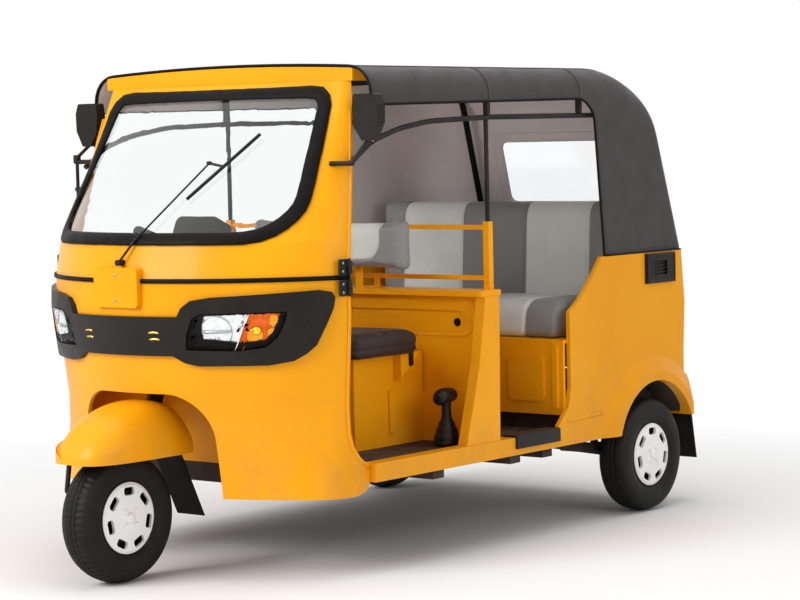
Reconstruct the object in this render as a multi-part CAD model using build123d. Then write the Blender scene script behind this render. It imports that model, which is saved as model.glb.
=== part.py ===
from build123d import *
import math
import os

# Three-wheeled auto rickshaw, sizes in millimetres.
# Frame: +Z up, floor at Z = 0, the vehicle's front faces -Y, its left side is +X.

# ---------------------------------------------------------------- wheels and stance
tyre_radius = 208.5
tyre_width = 118.0
rim_radius = 116.0
wheel_cover_radius = 114.0
hub_radius = 34.0
stub_radius = 14.0
running_clearance = 0.08
overall_length = 2647.0
wheelbase = 2104.0
rear_track = 1206.0
front_axle_y = -overall_length / 2 + tyre_radius
rear_axle_y = front_axle_y + wheelbase
rear_end_y = overall_length / 2

# ---------------------------------------------------------------- body levels
underside_z = 262.0
sill_bottom_z = 300.0
sill_top_z = 360.0
floor_top_z = 350.0
floor_sheet = 14.0
belt_z = 957.0
belt_gap = 8.0
screen_bottom_z = 1072.0
screen_top_z = 1556.0
header_bottom_z = 1574.0
roof_top_z = 1636.0
body_wall = 14.0
sheet = 12.0
seam = 0.3

# ---------------------------------------------------------------- body plan
sill_half_width = 645.0
pillar_y = -690.0
pillar_top_y = -548.0
cowl_back_y = -300.0
partition_y = 20.0
partition_sheet = 30.0
partition_top_z = 850.0
ledge_height = 20.0
b_post_half_width = 600.0
quarter_front_y = 487.0
quarter_top_front_y = 700.0
quarter_top_z = 950.0
body_back_y = 1262.0

# Plan sections of the front body, from the underside up to the roof header.
# columns: height, half width, front reach, where the side arc starts, corner radius
cowl_sections = [
    (underside_z, 620.0, -970.0, -680.0, 140.0),
    (560.0, 628.0, -1030.0, -620.0, 180.0),
    (850.0, 636.0, -1085.0, -640.0, 200.0),
    (belt_z, 632.0, -1082.0, -640.0, 200.0),
    (screen_bottom_z, 612.0, -1050.0, -655.0, 180.0),
    (header_bottom_z, 550.0, -578.0, -506.0, 60.0),
]


def block(x_range, y_range, z_range):
    """A box given by its limits along each axis."""
    size = [high - low for low, high in (x_range, y_range, z_range)]
    middle = [(high + low) / 2 for low, high in (x_range, y_range, z_range)]
    return Pos(*middle) * Box(*size)


def rod(start, end, radius):
    """A round bar from one point to another."""
    direction = Vector(*end) - Vector(*start)
    plane = Plane(origin=start, z_dir=direction)
    return extrude(plane * Circle(radius), direction.length)


def mirrored(shape):
    """The same piece on the other side of the vehicle."""
    return mirror(shape, about=Plane.YZ)


def side_prism(points, x_low, x_high, radius=0.0):
    """A YZ outline carried along X, with its corners rounded."""
    outline = Polyline(*[(x_low, y, z) for y, z in points], close=True)
    face = make_face(outline)
    if radius > 0:
        face = fillet(face.vertices(), radius)
    return extrude(face, x_high - x_low, dir=(1, 0, 0))


def front_prism(points, y_low, y_high, radius=0.0):
    """An XZ outline carried along Y, with its corners rounded."""
    outline = Polyline(*[(x, y_low, z) for x, z in points], close=True)
    face = make_face(outline)
    if radius > 0:
        face = fillet(face.vertices(), radius)
    return extrude(face, y_high - y_low, dir=(0, 1, 0))


def cowl_values(height):
    """The plan section's four sizes at any height, read between the listed sections."""
    for low, high in zip(cowl_sections, cowl_sections[1:]):
        if low[0] <= height <= high[0]:
            share = (height - low[0]) / (high[0] - low[0])
            return [a + share * (b - a) for a, b in zip(low[1:], high[1:])]
    return list(cowl_sections[-1][1:])


def cowl_wire(height, inset=0.0):
    """Plan outline at one height: a wide front arc, two corner arcs and straight sides."""
    half_width, front_y, side_y, corner = cowl_values(height)
    across = half_width - corner
    reach = side_y - front_y
    front_radius = (across**2 + reach**2 - corner**2) / (2 * (reach - corner))
    front_centre_y = front_y + front_radius
    angle = math.atan2(across, front_centre_y - side_y)
    radius = corner - inset
    front_radius -= inset

    def corner_point(side, turn):
        return (side * (across + radius * math.sin(turn)), side_y - radius * math.cos(turn), height)

    tangent_right = corner_point(1, angle)
    tangent_left = corner_point(-1, angle)
    middle_turn = (angle + math.pi / 2) / 2
    side_right = corner_point(1, math.pi / 2)
    side_left = corner_point(-1, math.pi / 2)
    back_right = (side_right[0], cowl_back_y, height)
    back_left = (side_left[0], cowl_back_y, height)
    return Wire(
        [
            Edge.make_line(back_right, side_right),
            Edge.make_three_point_arc(side_right, corner_point(1, middle_turn), tangent_right),
            Edge.make_three_point_arc(
                tangent_right,
                (0, front_centre_y - front_radius, height),
                tangent_left,
            ),
            Edge.make_three_point_arc(tangent_left, corner_point(-1, middle_turn), side_left),
            Edge.make_line(side_left, back_left),
            Edge.make_line(back_left, back_right),
        ]
    )


def cowl_solid(heights, inset=0.0):
    """The space inside the front body's plan outlines, straight between the heights."""
    return Solid.make_loft([cowl_wire(z, inset) for z in heights], True)


def cowl_heights(low, high):
    """The listed section heights that fall inside a range, with the range's own ends."""
    inner = [row[0] for row in cowl_sections if low < row[0] < high]
    return [low, *inner, high]


def cowl_shell(low, high, outer_inset, inner_inset):
    """A skin that follows the front body between two heights and two depths."""
    heights = cowl_heights(low, high)
    return cowl_solid(heights, outer_inset) - cowl_solid(heights, inner_inset)


# ---------------------------------------------------------------- front body
pillar_lean_z = 950.0
door_corner_back_y = -606.0
behind_pillars = side_prism(
    [
        (-690.0, underside_z - 50),
        (-690.0, underside_z),
        (-652.0, underside_z + 3),
        (-625.0, underside_z + 14),
        (door_corner_back_y, underside_z + 34),
        (door_corner_back_y, sill_top_z + 2),
        (-634.0, sill_top_z + 10),
        (-660.0, sill_top_z + 30),
        (-679.0, sill_top_z + 58),
        (pillar_y, sill_top_z + 104),
        (pillar_y, pillar_lean_z),
        (pillar_top_y, header_bottom_z),
        (pillar_top_y, roof_top_z + 50),
        (cowl_back_y + 50, roof_top_z + 50),
        (cowl_back_y + 50, underside_z - 50),
    ],
    -700,
    700,
)

# The opening that the front wheel and its mudguard turn in.
arch_half_width = 284.0
arch_top_z = 597.0
arch_corner = 150.0
arch_back_y = -880.0
wheel_arch = front_prism(
    [
        (-arch_half_width, 0),
        (arch_half_width, 0),
        (arch_half_width, arch_top_z),
        (-arch_half_width, arch_top_z),
    ],
    -1400,
    arch_back_y,
)
wheel_arch = fillet(wheel_arch.edges().filter_by(Axis.Y).group_by(Axis.Z)[-1], arch_corner)

# Windscreen opening, seen from the front.
screen_low_half = 532.0
screen_high_half = 480.0
screen_low_corner = 120.0
screen_high_corner = 62.0
seal_width = 32.0
seal_depth = 10.0
glass_thickness = 6.0


def screen_prism(shrink):
    """The windscreen outline carried back, made smaller all round by one amount."""
    points = [
        (-screen_low_half + shrink, screen_bottom_z + shrink),
        (screen_low_half - shrink, screen_bottom_z + shrink),
        (screen_high_half - shrink, screen_top_z - shrink),
        (-screen_high_half + shrink, screen_top_z - shrink),
    ]
    shape = front_prism(points, -1200, -400)
    rows = shape.edges().filter_by(Axis.Y).group_by(Axis.Z)
    shape = fillet(rows[0], screen_low_corner - shrink / 2)
    high_row = shape.edges().filter_by(Axis.Y).filter_by_position(
        Axis.Z,
        screen_top_z - 80,
        screen_top_z + 1,
    )
    return fillet(high_row, screen_high_corner - shrink / 2)


lower_cowl = cowl_shell(underside_z, belt_z - belt_gap / 2, 0.0, body_wall)
front_cowl = lower_cowl - behind_pillars - wheel_arch

upper_cowl = cowl_shell(belt_z + belt_gap / 2, header_bottom_z, 0.0, body_wall)
windscreen_panel = upper_cowl - behind_pillars - screen_prism(0)

seal_proud = 5.0
seal_shell = cowl_shell(screen_bottom_z, header_bottom_z - 1, -seal_proud, seal_depth)
windscreen_seal = (seal_shell & screen_prism(seam)) - screen_prism(seal_width)
glass_shell = cowl_shell(screen_bottom_z + 1, header_bottom_z - 1, 1.0, 1.0 + glass_thickness)
windscreen = glass_shell & screen_prism(seal_width)

belt_proud = 3.0
belt_trim = cowl_shell(belt_z - belt_gap / 2, belt_z + belt_gap / 2, -belt_proud, body_wall)
belt_trim -= behind_pillars

# Number-plate board, flat in front and shaped to the panel behind it.
plate_width = 190.0
plate_height = 126.0
plate_z = 936.0
plate_front_y = -1097.0
plate_screw_spacing = 78.0
plate_screw_radius = 3.5
plate_board = block(
    (-plate_width / 2, plate_width / 2),
    (plate_front_y, plate_front_y + 60),
    (plate_z - plate_height / 2, plate_z + plate_height / 2),
)
belt_trim -= block(
    (-plate_width / 2 - seam, plate_width / 2 + seam),
    (plate_front_y - 10, plate_front_y + 80),
    (belt_z - belt_gap, belt_z + belt_gap),
)
plate_board = fillet(plate_board.edges().filter_by(Axis.Y), 14)
plate_board -= cowl_solid(cowl_heights(underside_z, belt_z - belt_gap / 2), 0.0)
plate_board -= cowl_solid(cowl_heights(belt_z - belt_gap / 2, belt_z + belt_gap / 2), 0.0)
plate_board -= cowl_solid(cowl_heights(belt_z + belt_gap / 2, header_bottom_z), 0.0)
for side in (-1, 1):
    hole_z = plate_z + side * plate_screw_spacing / 2
    screw_way = rod((0, plate_front_y - 1, hole_z), (0, plate_front_y + 80, hole_z), plate_screw_radius)
    plate_board -= screw_way
    front_cowl -= screw_way
    windscreen_panel -= screw_way

# Lamp fascia: the dark band that wraps the nose and widens round each lamp.
# The widened ends are outlined on a plane turned towards the front corner.
lamp_turn = 38.6
lamp_cos = math.cos(math.radians(lamp_turn))
lamp_sin = math.sin(math.radians(lamp_turn))
fascia_proud = 16.0
band_low_z = 721.0
band_high_z = 846.0
# columns: distance along the turned plane, height
bezel_outline = [
    (-500.0, 721.0),
    (-462.0, 700.0),
    (-417.0, 690.0),
    (-196.0, 691.0),
    (-118.0, 703.0),
    (-77.0, 725.0),
    (-46.0, 751.0),
    (-13.0, 817.0),
    (8.0, 864.0),
    (14.0, 896.0),
    (4.0, 914.0),
    (-35.0, 922.0),
    (-377.0, 906.0),
    (-441.0, 896.0),
    (-470.0, 874.0),
    (-484.0, 846.0),
    (-500.0, 846.0),
]
# columns: distance along the turned plane, height
lens_outline = [
    (-457.0, 741.0),
    (-288.0, 737.0),
    (-204.0, 748.0),
    (-169.0, 776.0),
    (-146.0, 816.0),
    (-135.0, 859.0),
    (-410.0, 855.0),
    (-436.0, 843.0),
    (-455.0, 789.0),
]
lens_split = -278.0


def corner_prism(outline):
    """An outline on the turned plane, carried inwards through the left front corner."""
    start = 1300.0
    base = (start * lamp_sin, -start * lamp_cos)
    points = [(base[0] + u * lamp_cos, base[1] + u * lamp_sin, z) for u, z in outline]
    face = make_face(Polyline(*points, close=True))
    return extrude(face, start - 250, dir=(-lamp_sin, lamp_cos, 0))


bezel_prism = corner_prism(bezel_outline)
lens_prism = corner_prism(lens_outline)
fascia_low = 680.0
fascia_high = 930.0
fascia_shell = cowl_shell(fascia_low, fascia_high, -fascia_proud, 0.0)
band_prism = block((-230, 230), (-1200, -900), (band_low_z, band_high_z))
fascia_form = band_prism + bezel_prism + mirrored(bezel_prism)
lamp_fascia = (fascia_shell & fascia_form) - lens_prism - mirrored(lens_prism)

lamp_shell = cowl_shell(fascia_low, fascia_high, -fascia_proud + 3, 0.0)
left_lamp = lamp_shell & lens_prism
split_cut = corner_prism([(-600, 600), (lens_split - 1, 600), (lens_split - 1, 1000), (-600, 1000)])
amber_cut = corner_prism([(lens_split, 600), (60, 600), (60, 1000), (lens_split, 1000)])
headlamp_left = left_lamp & split_cut
indicator_left = left_lamp & amber_cut
headlamps = headlamp_left + mirrored(headlamp_left)
front_indicators = indicator_left + mirrored(indicator_left)

# ---------------------------------------------------------------- roof header and canopy
header_half_width = 548.0
header_front_y = -560.0
header_back_y = -480.0
canopy_thickness = 6.0
canopy_front_y = -552.0
canopy_half_width = 612.0
canopy_bottom_half_width = 640.0
canopy_shoulder = 90.0
canopy_crown = 20.0
canopy_low_z = quarter_top_z + seam
valance_z = 1503.0
canopy_back_low_y = 1260.0
canopy_back_high_y = 1100.0
canopy_back_corner_z = 1520.0
canopy_back_radius = 150.0
canopy_top_slope = -1.9
canopy_corner = 50.0


def canopy_side_half(height, inset):
    """Half the canopy's width at one height, on its leaning sides."""
    lean = (canopy_bottom_half_width - canopy_half_width) / (roof_top_z - canopy_crown - canopy_low_z)
    return canopy_half_width - inset + lean * (roof_top_z - inset - canopy_crown - height)


def roof_crossing(inset, low_z):
    """The canopy's cross-section carried along the vehicle, smaller all round by one amount."""
    top = roof_top_z - inset
    half = canopy_half_width - inset
    shoulder_z = top - canopy_crown
    low_half = canopy_side_half(low_z, inset)
    outline = Wire(
        [
            Edge.make_line((-low_half, 0, low_z), (low_half, 0, low_z)),
            Edge.make_line((low_half, 0, low_z), (half, 0, shoulder_z)),
            Edge.make_three_point_arc((half, 0, shoulder_z), (0, 0, top), (-half, 0, shoulder_z)),
            Edge.make_line((-half, 0, shoulder_z), (-low_half, 0, low_z)),
        ]
    )
    face = Face(outline)
    corners = [v for v in face.vertices() if abs(v.Z - shoulder_z) < 1]
    face = fillet(corners, canopy_shoulder - inset)
    return extrude(face, 1500, both=True, dir=(0, 1, 0))


def canopy_plan(inset, low_z):
    """The canopy's plan outline with rounded rear corners, carried up along its sloping back."""
    slope_low = (canopy_back_high_y - canopy_back_low_y) / (canopy_back_corner_z - canopy_low_z)
    high_z = roof_top_z + 30
    wires = []
    for height in (low_z, canopy_back_corner_z, high_z):
        below_corner = min(height, canopy_back_corner_z) - canopy_back_corner_z
        back = canopy_back_high_y - inset + slope_low * below_corner
        back += canopy_top_slope * (max(height, canopy_back_corner_z) - canopy_back_corner_z)
        half = canopy_side_half(height, inset)
        turn = canopy_corner - inset
        diagonal = turn * (1 - math.sqrt(0.5))
        left, right = (-half + turn, back, height), (half - turn, back, height)
        wires.append(
            Wire(
                [
                    Edge.make_line((-half, -900, height), (half, -900, height)),
                    Edge.make_line((half, -900, height), (half, back - turn, height)),
                    Edge.make_three_point_arc(
                        (half, back - turn, height),
                        (half - diagonal, back - diagonal, height),
                        right,
                    ),
                    Edge.make_line(right, left),
                    Edge.make_three_point_arc(
                        left,
                        (diagonal - half, back - diagonal, height),
                        (-half, back - turn, height),
                    ),
                    Edge.make_line((-half, back - turn, height), (-half, -900, height)),
                ]
            )
        )
    return Solid.make_loft(wires, True)


def canopy_form(inset, front_y, low_z):
    """The closed outer form of the canopy: its cross-section cut to its side and plan outlines."""
    top = roof_top_z + 40
    back_high = canopy_back_high_y - inset
    side = side_prism(
        [
            (front_y, low_z),
            (canopy_back_low_y - inset, low_z),
            (back_high, canopy_back_corner_z),
            (back_high + canopy_top_slope * (top - canopy_back_corner_z), top),
            (front_y, top),
        ],
        -800,
        800,
    )
    side_edges = [e for e in side.edges().filter_by(Axis.X) if abs(e.center().Z - canopy_back_corner_z) < 1]
    side = fillet(side_edges, canopy_back_radius)
    return (roof_crossing(inset, low_z) & side) & canopy_plan(inset, low_z)


header_slab = block(
    (-header_half_width, header_half_width),
    (header_front_y, header_back_y),
    (header_bottom_z, roof_top_z + 50),
)
header_hollow = block(
    (-header_half_width + body_wall, header_half_width - body_wall),
    (header_front_y + body_wall, header_back_y + 10),
    (header_bottom_z - 10, roof_top_z + 50),
)
header_inner_form = roof_crossing(canopy_thickness + body_wall, canopy_low_z)
roof_header = header_slab & roof_crossing(canopy_thickness + seam, canopy_low_z)
roof_header -= header_hollow & header_inner_form

canopy_outer = canopy_form(0.0, canopy_front_y, canopy_low_z)
canopy_inner = canopy_form(canopy_thickness, canopy_front_y - 50, canopy_low_z - 20)
side_opening = side_prism(
    [
        (canopy_front_y - 60, canopy_low_z - 80),
        (quarter_top_front_y + 22, canopy_low_z - 80),
        (quarter_top_front_y + 4, 1460),
        (quarter_top_front_y - 66, valance_z + 10),
        (canopy_front_y - 60, valance_z - 8),
    ],
    -800,
    800,
)
rear_window_x = (-125.0, 420.0)
rear_window_z = (1120.0, 1376.0)
window_corner = 30.0


def window_prism(shrink):
    """The rear window's outline carried back, made smaller all round by one amount."""
    shape = block(
        (rear_window_x[0] + shrink, rear_window_x[1] - shrink),
        (950, 1300),
        (rear_window_z[0] + shrink, rear_window_z[1] - shrink),
    )
    return fillet(shape.edges().filter_by(Axis.Y), window_corner - shrink)


canopy = canopy_outer - canopy_inner - side_opening - window_prism(0)
pane_inset = 1.0
pane_thickness = 3.0
pane_shell = canopy_form(pane_inset, canopy_front_y, canopy_low_z)
pane_shell -= canopy_form(pane_inset + pane_thickness, canopy_front_y - 50, canopy_low_z - 20)
rear_window = pane_shell & window_prism(0)

# Tubes that hold the canopy: a door header tube and a post each side, and hoops across.
frame_tube = 9.0
post_tube = 8.0
rail_x = 592.0
rail_points = [
    (-634.0, 1311.0),
    (-527.0, 1379.0),
    (-379.0, 1420.0),
    (-222.0, 1441.0),
    (105.0, 1452.0),
    (985.0, 1455.0),
]
rail_bends = [200, 500, 700, 1200]


def bent_tube(points, radius, bends):
    """A tube of straight runs joined by tangent arcs."""
    path = FilletPolyline(*points, radius=bends)
    start = Vector(*points[1]) - Vector(*points[0])
    plane = Plane(origin=points[0], z_dir=start)
    return sweep(plane * Circle(radius), path=path)


# ---------------------------------------------------------------- floor, sills and underframe
sill_inner_x = 590.0
sill_front_y = door_corner_back_y + seam
sill_back_y = 408.0
sill_left = block((sill_inner_x, sill_half_width), (sill_front_y, sill_back_y), (sill_bottom_z, sill_top_z))
sills = sill_left + mirrored(sill_left)

floor_front_y = -676.0
floor_back_y = 507.0
kick_top_z = 404.0
floor_pan = block(
    (-sill_inner_x, sill_inner_x),
    (floor_front_y, floor_back_y),
    (floor_top_z - floor_sheet, floor_top_z),
)
floor_pan += block(
    (-sill_inner_x, sill_inner_x),
    (floor_back_y - sheet, floor_back_y),
    (floor_top_z, kick_top_z),
)

rail_half_gap = 330.0
rail_width = 50.0
frame_top_z = floor_top_z - floor_sheet
frame_low_z = 272.0
cross_y = (-681.0, -260.0, 180.0, 560.0, 740.0, 1070.0, 1180.0)
cross_width = 46.0
underframe = block(
    (rail_half_gap, rail_half_gap + rail_width),
    (cross_y[0] - cross_width / 2, cross_y[-1] + cross_width / 2),
    (frame_low_z, frame_top_z),
)
underframe += mirrored(underframe)
for y in cross_y:
    underframe += block(
        (-rail_half_gap, rail_half_gap),
        (y - cross_width / 2, y + cross_width / 2),
        (frame_low_z, frame_top_z),
    )
# Outriggers that carry each sill, with the lug that shows under it.
outrigger_y = (-250.0, 180.0, 370.0)
outrigger_width = 60.0
outrigger_low_z = 268.0
for y in outrigger_y:
    arm = block(
        (rail_half_gap + rail_width, sill_inner_x + 30),
        (y - outrigger_width / 2, y + outrigger_width / 2),
        (outrigger_low_z, sill_bottom_z),
    )
    underframe += arm + mirrored(arm)

# ---------------------------------------------------------------- steering axis and front fork
rake = 24.0
trail = 62.0
rake_sin = math.sin(math.radians(rake))
rake_cos = math.cos(math.radians(rake))
steer_foot_y = front_axle_y - trail


def along_steer(distance, forward=0.0, x=0.0):
    """A point on the steering axis, or beside it, counted up from the floor."""
    y = steer_foot_y + distance * rake_sin - forward * rake_cos
    z = distance * rake_cos + forward * rake_sin
    return (x, y, z)


axle_forward = tyre_radius * rake_sin - trail * rake_cos
axle_along = tyre_radius * rake_cos + trail * rake_sin
column_radius = 22.0
head_outer_radius = 33.0
head_start = 660.0
head_end = 830.0
crown_start = 446.0
crown_height = 34.0
leg_x = 82.0
leg_radius = 14.0
column_top = 1120.0

head_tube = rod(along_steer(head_start), along_steer(head_end), head_outer_radius)
head_bore = rod(along_steer(head_start - 5), along_steer(head_end + 5), column_radius + running_clearance)
strut_radius = 17.0
strut_foot = (rail_half_gap + rail_width / 2, -682.0, frame_top_z - 30)
strut_head = along_steer((head_start + head_end) / 2, 0.0, 20.0)
front_strut = rod(strut_foot, strut_head, strut_radius)
cross_bar_along = head_end - 40
cross_bar_y = along_steer(cross_bar_along)[1]
cross_bar_z = along_steer(cross_bar_along)[2]
cross_bar_half = 585.0
cross_bar = rod(
    (-cross_bar_half, cross_bar_y, cross_bar_z),
    (cross_bar_half, cross_bar_y, cross_bar_z),
    14.0,
)
cowl_inside = cowl_solid(cowl_heights(underside_z, belt_z - belt_gap / 2), body_wall)
cross_bar = cross_bar & cowl_inside
head_frame = front_strut + mirrored(front_strut) + cross_bar + head_tube
head_frame -= head_bore + underframe

# Towing eye: a plate behind the last cross member with one round hole across it.
tow_eye_y = 1240.0
tow_eye_z = 290.0
tow_eye_radius = 10.0
tow_eye_plate = block((-6.0, 6.0), (cross_y[-1], tow_eye_y + 22), (tow_eye_z - 22, tow_eye_z + 22))
underframe += tow_eye_plate
underframe -= rod((-10, tow_eye_y, tow_eye_z), (10, tow_eye_y, tow_eye_z), tow_eye_radius)

crown_block = block((-leg_x - 18, 34), (-24, 24), (0, crown_height))
crown_plane = Plane(
    origin=along_steer(crown_start, axle_forward / 2),
    x_dir=(1, 0, 0),
    z_dir=(0, rake_sin, rake_cos),
)
steering_fork = crown_plane * crown_block
steering_fork += rod(along_steer(crown_start + 4), along_steer(column_top), column_radius)
steering_fork += rod(
    along_steer(crown_start + 10, axle_forward, -leg_x),
    along_steer(axle_along - 22, axle_forward, -leg_x),
    leg_radius,
)
front_stub_end_x = 38.0
steering_fork += rod(
    (-leg_x - 14, front_axle_y, tyre_radius),
    (front_stub_end_x, front_axle_y, tyre_radius),
    stub_radius,
)
# Leading link and damper rod on the right-hand side of the front wheel.
damper_x = -100.0
link_eye = (damper_x, front_axle_y - 122, 300.0)
damper_top = (damper_x, front_axle_y - 100, 440.0)
steering_fork += rod((damper_x, front_axle_y, tyre_radius), link_eye, 9.0)
steering_fork += rod(link_eye, damper_top, 8.0)
steering_fork += rod(damper_top, along_steer(crown_start + crown_height / 2, axle_forward, -leg_x), 9.0)

# Front mudguard: a rounded dome over the top of the wheel, open underneath.
guard_low_z = 396.0
guard_wall = 4.0
# columns: how far back, half width, top height
guard_sections = [
    (-1312.0, 50.0, 424.0),
    (-1296.0, 84.0, 452.0),
    (-1256.0, 110.0, 494.0),
    (-1180.0, 125.0, 540.0),
    (-1085.0, 129.0, 568.0),
    (-990.0, 129.0, 570.0),
    (-925.0, 124.0, 548.0),
    (-892.0, 118.0, 512.0),
    (-878.0, 112.0, 478.0),
]
guard_back_y = guard_sections[-1][0]


def guard_wire(y, half, top, low):
    """One cross-section of the dome: a flat foot under a rounded arch."""
    rise = top - low
    points = [
        (half, y, low),
        (half * 0.93, y, low + rise * 0.55),
        (half * 0.62, y, low + rise * 0.9),
        (0, y, top),
    ]
    points += [(-x, y, z) for x, y, z in points[-2::-1]]
    arch = Edge.make_spline(points, tangents=[(0, 0, 1), (0, 0, -1)])
    return Wire([arch, Edge.make_line((-half, y, low), (half, y, low))])


def guard_form(inset):
    """The dome's outer form, smaller all round by one amount."""
    first, last = guard_sections[0][0], guard_sections[-1][0]
    low = guard_low_z if inset == 0 else guard_low_z - 10
    wires = []
    for y, half, top in guard_sections:
        place = min(max(y, first + inset), last - inset)
        wires.append(guard_wire(place, half - inset, top - inset, low))
    return Solid.make_loft(wires, False)


front_mudguard = guard_form(0.0) - guard_form(guard_wall)
front_mudguard -= rod(along_steer(crown_start), along_steer(column_top), column_radius)
flap_half_width = 60.0
flap_thickness = 5.0
flap_low_y = -776.0
flap_low_z = 172.0
flap_top_y = guard_back_y - guard_wall
front_mudflap = side_prism(
    [
        (flap_top_y - flap_thickness, guard_low_z + 20),
        (flap_top_y, guard_low_z + 20),
        (flap_top_y, guard_low_z - 2),
        (flap_low_y, flap_low_z),
        (flap_low_y - flap_thickness, flap_low_z),
        (flap_top_y - flap_thickness, guard_low_z - 4),
    ],
    -flap_half_width,
    flap_half_width,
)

# Handlebar, its clamp and the small instrument pod above it.
bar_radius = 11.0
grip_radius = 16.0
bar_half_width = 330.0
grip_length = 120.0
clamp_centre = along_steer(column_top + 12)
clamp_height = 42.0
handlebar = rod(along_steer(column_top), along_steer(column_top + clamp_height), 30.0)
bar_rise = 60.0
bar_back = 60.0
bar_bend_x = 110.0
for side in (-1, 1):
    bend = (side * bar_bend_x, clamp_centre[1] + 10, clamp_centre[2] + 10)
    tip = (side * bar_half_width, clamp_centre[1] + bar_back, clamp_centre[2] + bar_rise)
    handlebar += rod((0, clamp_centre[1], clamp_centre[2]), bend, bar_radius)
    handlebar += Pos(*bend) * Sphere(bar_radius)
    handlebar += rod(bend, tip, bar_radius)
    direction = (Vector(*tip) - Vector(*bend)).normalized()
    grip_start = Vector(*tip) - direction * grip_length
    handlebar += rod(tuple(grip_start), tip, grip_radius)
pod_size = (190.0, 70.0, 76.0)
pod_base = along_steer(column_top + clamp_height)
pod_plane = Plane(origin=pod_base, x_dir=(1, 0, 0), z_dir=(0, rake_sin, rake_cos))
pod = Box(*pod_size, align=(Align.CENTER, Align.CENTER, Align.MIN))
pod = fillet(pod.edges().filter_by(Axis.Y), 24)
instrument_pod = pod_plane * pod

# ---------------------------------------------------------------- driver's area
toe_front_y = -704.0
toe_low_z = frame_top_z
toe_shelf_z = 672.0
toe_half_width = 590.0
toe_wall = block(
    (-toe_half_width, toe_half_width),
    (toe_front_y, toe_front_y + sheet),
    (toe_low_z, toe_shelf_z),
)
toe_shelf = block(
    (-toe_half_width, toe_half_width),
    (-1100, toe_front_y + sheet),
    (toe_shelf_z, toe_shelf_z + sheet),
)
toe_board = (toe_wall + toe_shelf) & cowl_inside
toe_board -= rod(along_steer(head_start - 40), along_steer(head_end + 40), head_outer_radius)
toe_board -= front_strut + mirrored(front_strut)

partition_half_width = 602.0
partition_back_y = partition_y + partition_sheet
partition = block(
    (-partition_half_width, partition_half_width),
    (partition_y, partition_back_y),
    (floor_top_z, partition_top_z),
)
recess_depth = 8.0
recess = front_prism(
    [(-570, 520), (570, 520), (570, 800), (-570, 800)],
    partition_y - 1,
    partition_y + recess_depth,
)
recess = fillet(recess.edges().filter_by(Axis.Y), 60)
partition -= recess
for side in (-1, 1):
    hole_x = side * 500.0
    partition -= rod((hole_x, partition_y - 5, 760), (hole_x, partition_back_y + 5, 760), 11.0)
ledge_back_y = 108.0
ledge_front_y = -10.0
ledge_half_width = 634.0
ledge = block(
    (-ledge_half_width, ledge_half_width),
    (ledge_front_y, ledge_back_y),
    (partition_top_z, partition_top_z + ledge_height),
)
ledge = fillet(ledge.edges().filter_by(Axis.Z), 16)
partition += ledge
post_foot_front_y = -118.0
post_back_y = 80.0
post_left = side_prism(
    [
        (post_foot_front_y, sill_top_z),
        (post_back_y - 10, sill_top_z),
        (post_back_y, partition_top_z),
        (0, partition_top_z),
        (-40, 620),
    ],
    partition_half_width,
    640,
)
partition += post_left + mirrored(post_left)
partition -= sills

guard_post_y = 92.0
guard_post = 24.0
guard_top_z_rail = 1088.0
guard_rail_height = 16.0
guard_low_rail_z = 900.0
ledge_top_z = partition_top_z + ledge_height
guard_rail = block(
    (b_post_half_width - guard_post, b_post_half_width),
    (guard_post_y - guard_post / 2, guard_post_y + guard_post / 2),
    (ledge_top_z, guard_top_z_rail + 12),
)
guard_rail += mirrored(guard_rail)
for z in (guard_top_z_rail - guard_rail_height, guard_low_rail_z):
    guard_rail += block(
        (-b_post_half_width + guard_post, b_post_half_width - guard_post),
        (guard_post_y - 5, guard_post_y + 5),
        (z, z + guard_rail_height),
    )

b_post_x = b_post_half_width - guard_post / 2
b_post_top_z = 1540.0
side_rail = bent_tube([(rail_x, y, z) for y, z in rail_points], frame_tube, rail_bends)
b_post = rod(
    (b_post_x, guard_post_y, guard_top_z_rail + 12),
    (b_post_x, guard_post_y, b_post_top_z),
    post_tube,
)
frame_left = side_rail + b_post
canopy_frame = frame_left + mirrored(frame_left)
hoop_z = 1455.0
hoop_top_z = 1608.0
for y in (guard_post_y, 640.0):
    hoop_outer = front_prism(
        [
            (-rail_x - 10, hoop_z),
            (rail_x + 10, hoop_z),
            (rail_x + 10, hoop_top_z),
            (-rail_x - 10, hoop_top_z),
        ],
        y - 8,
        y + 8,
    )
    hoop_outer = fillet(hoop_outer.edges().filter_by(Axis.Y).group_by(Axis.Z)[-1], 80)
    hoop_inner = front_prism(
        [
            (-rail_x + 8, hoop_z - 5),
            (rail_x - 8, hoop_z - 5),
            (rail_x - 8, hoop_top_z - 18),
            (-rail_x + 8, hoop_top_z - 18),
        ],
        y - 9,
        y + 9,
    )
    hoop_inner = fillet(hoop_inner.edges().filter_by(Axis.Y).group_by(Axis.Z)[-1], 62)
    canopy_frame += hoop_outer - hoop_inner

pedestal_half_width = 350.0
pedestal_front_y = -350.0
pedestal_top_z = 662.0
driver_pedestal = block(
    (-pedestal_half_width, pedestal_half_width),
    (pedestal_front_y, partition_y),
    (floor_top_z, pedestal_top_z),
)
pedestal_rib = block(
    (pedestal_half_width, pedestal_half_width + 8),
    (-172, -144),
    (395, 538),
)
driver_pedestal += pedestal_rib + mirrored(pedestal_rib)
seat_bracket = side_prism(
    [(-140, pedestal_top_z - 88), (-40, pedestal_top_z - 10), (-40, pedestal_top_z), (-140, pedestal_top_z)],
    pedestal_half_width,
    pedestal_half_width + 34,
)
driver_pedestal += seat_bracket + mirrored(seat_bracket)
seat_half_width = 440.0
seat_front_y = -430.0
seat_back_y = -60.0
seat_thickness = 88.0
driver_seat = block(
    (-seat_half_width, seat_half_width),
    (seat_front_y, seat_back_y),
    (pedestal_top_z, pedestal_top_z + seat_thickness),
)
driver_seat = fillet(driver_seat.edges().filter_by(Axis.Z), 90)
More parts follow.
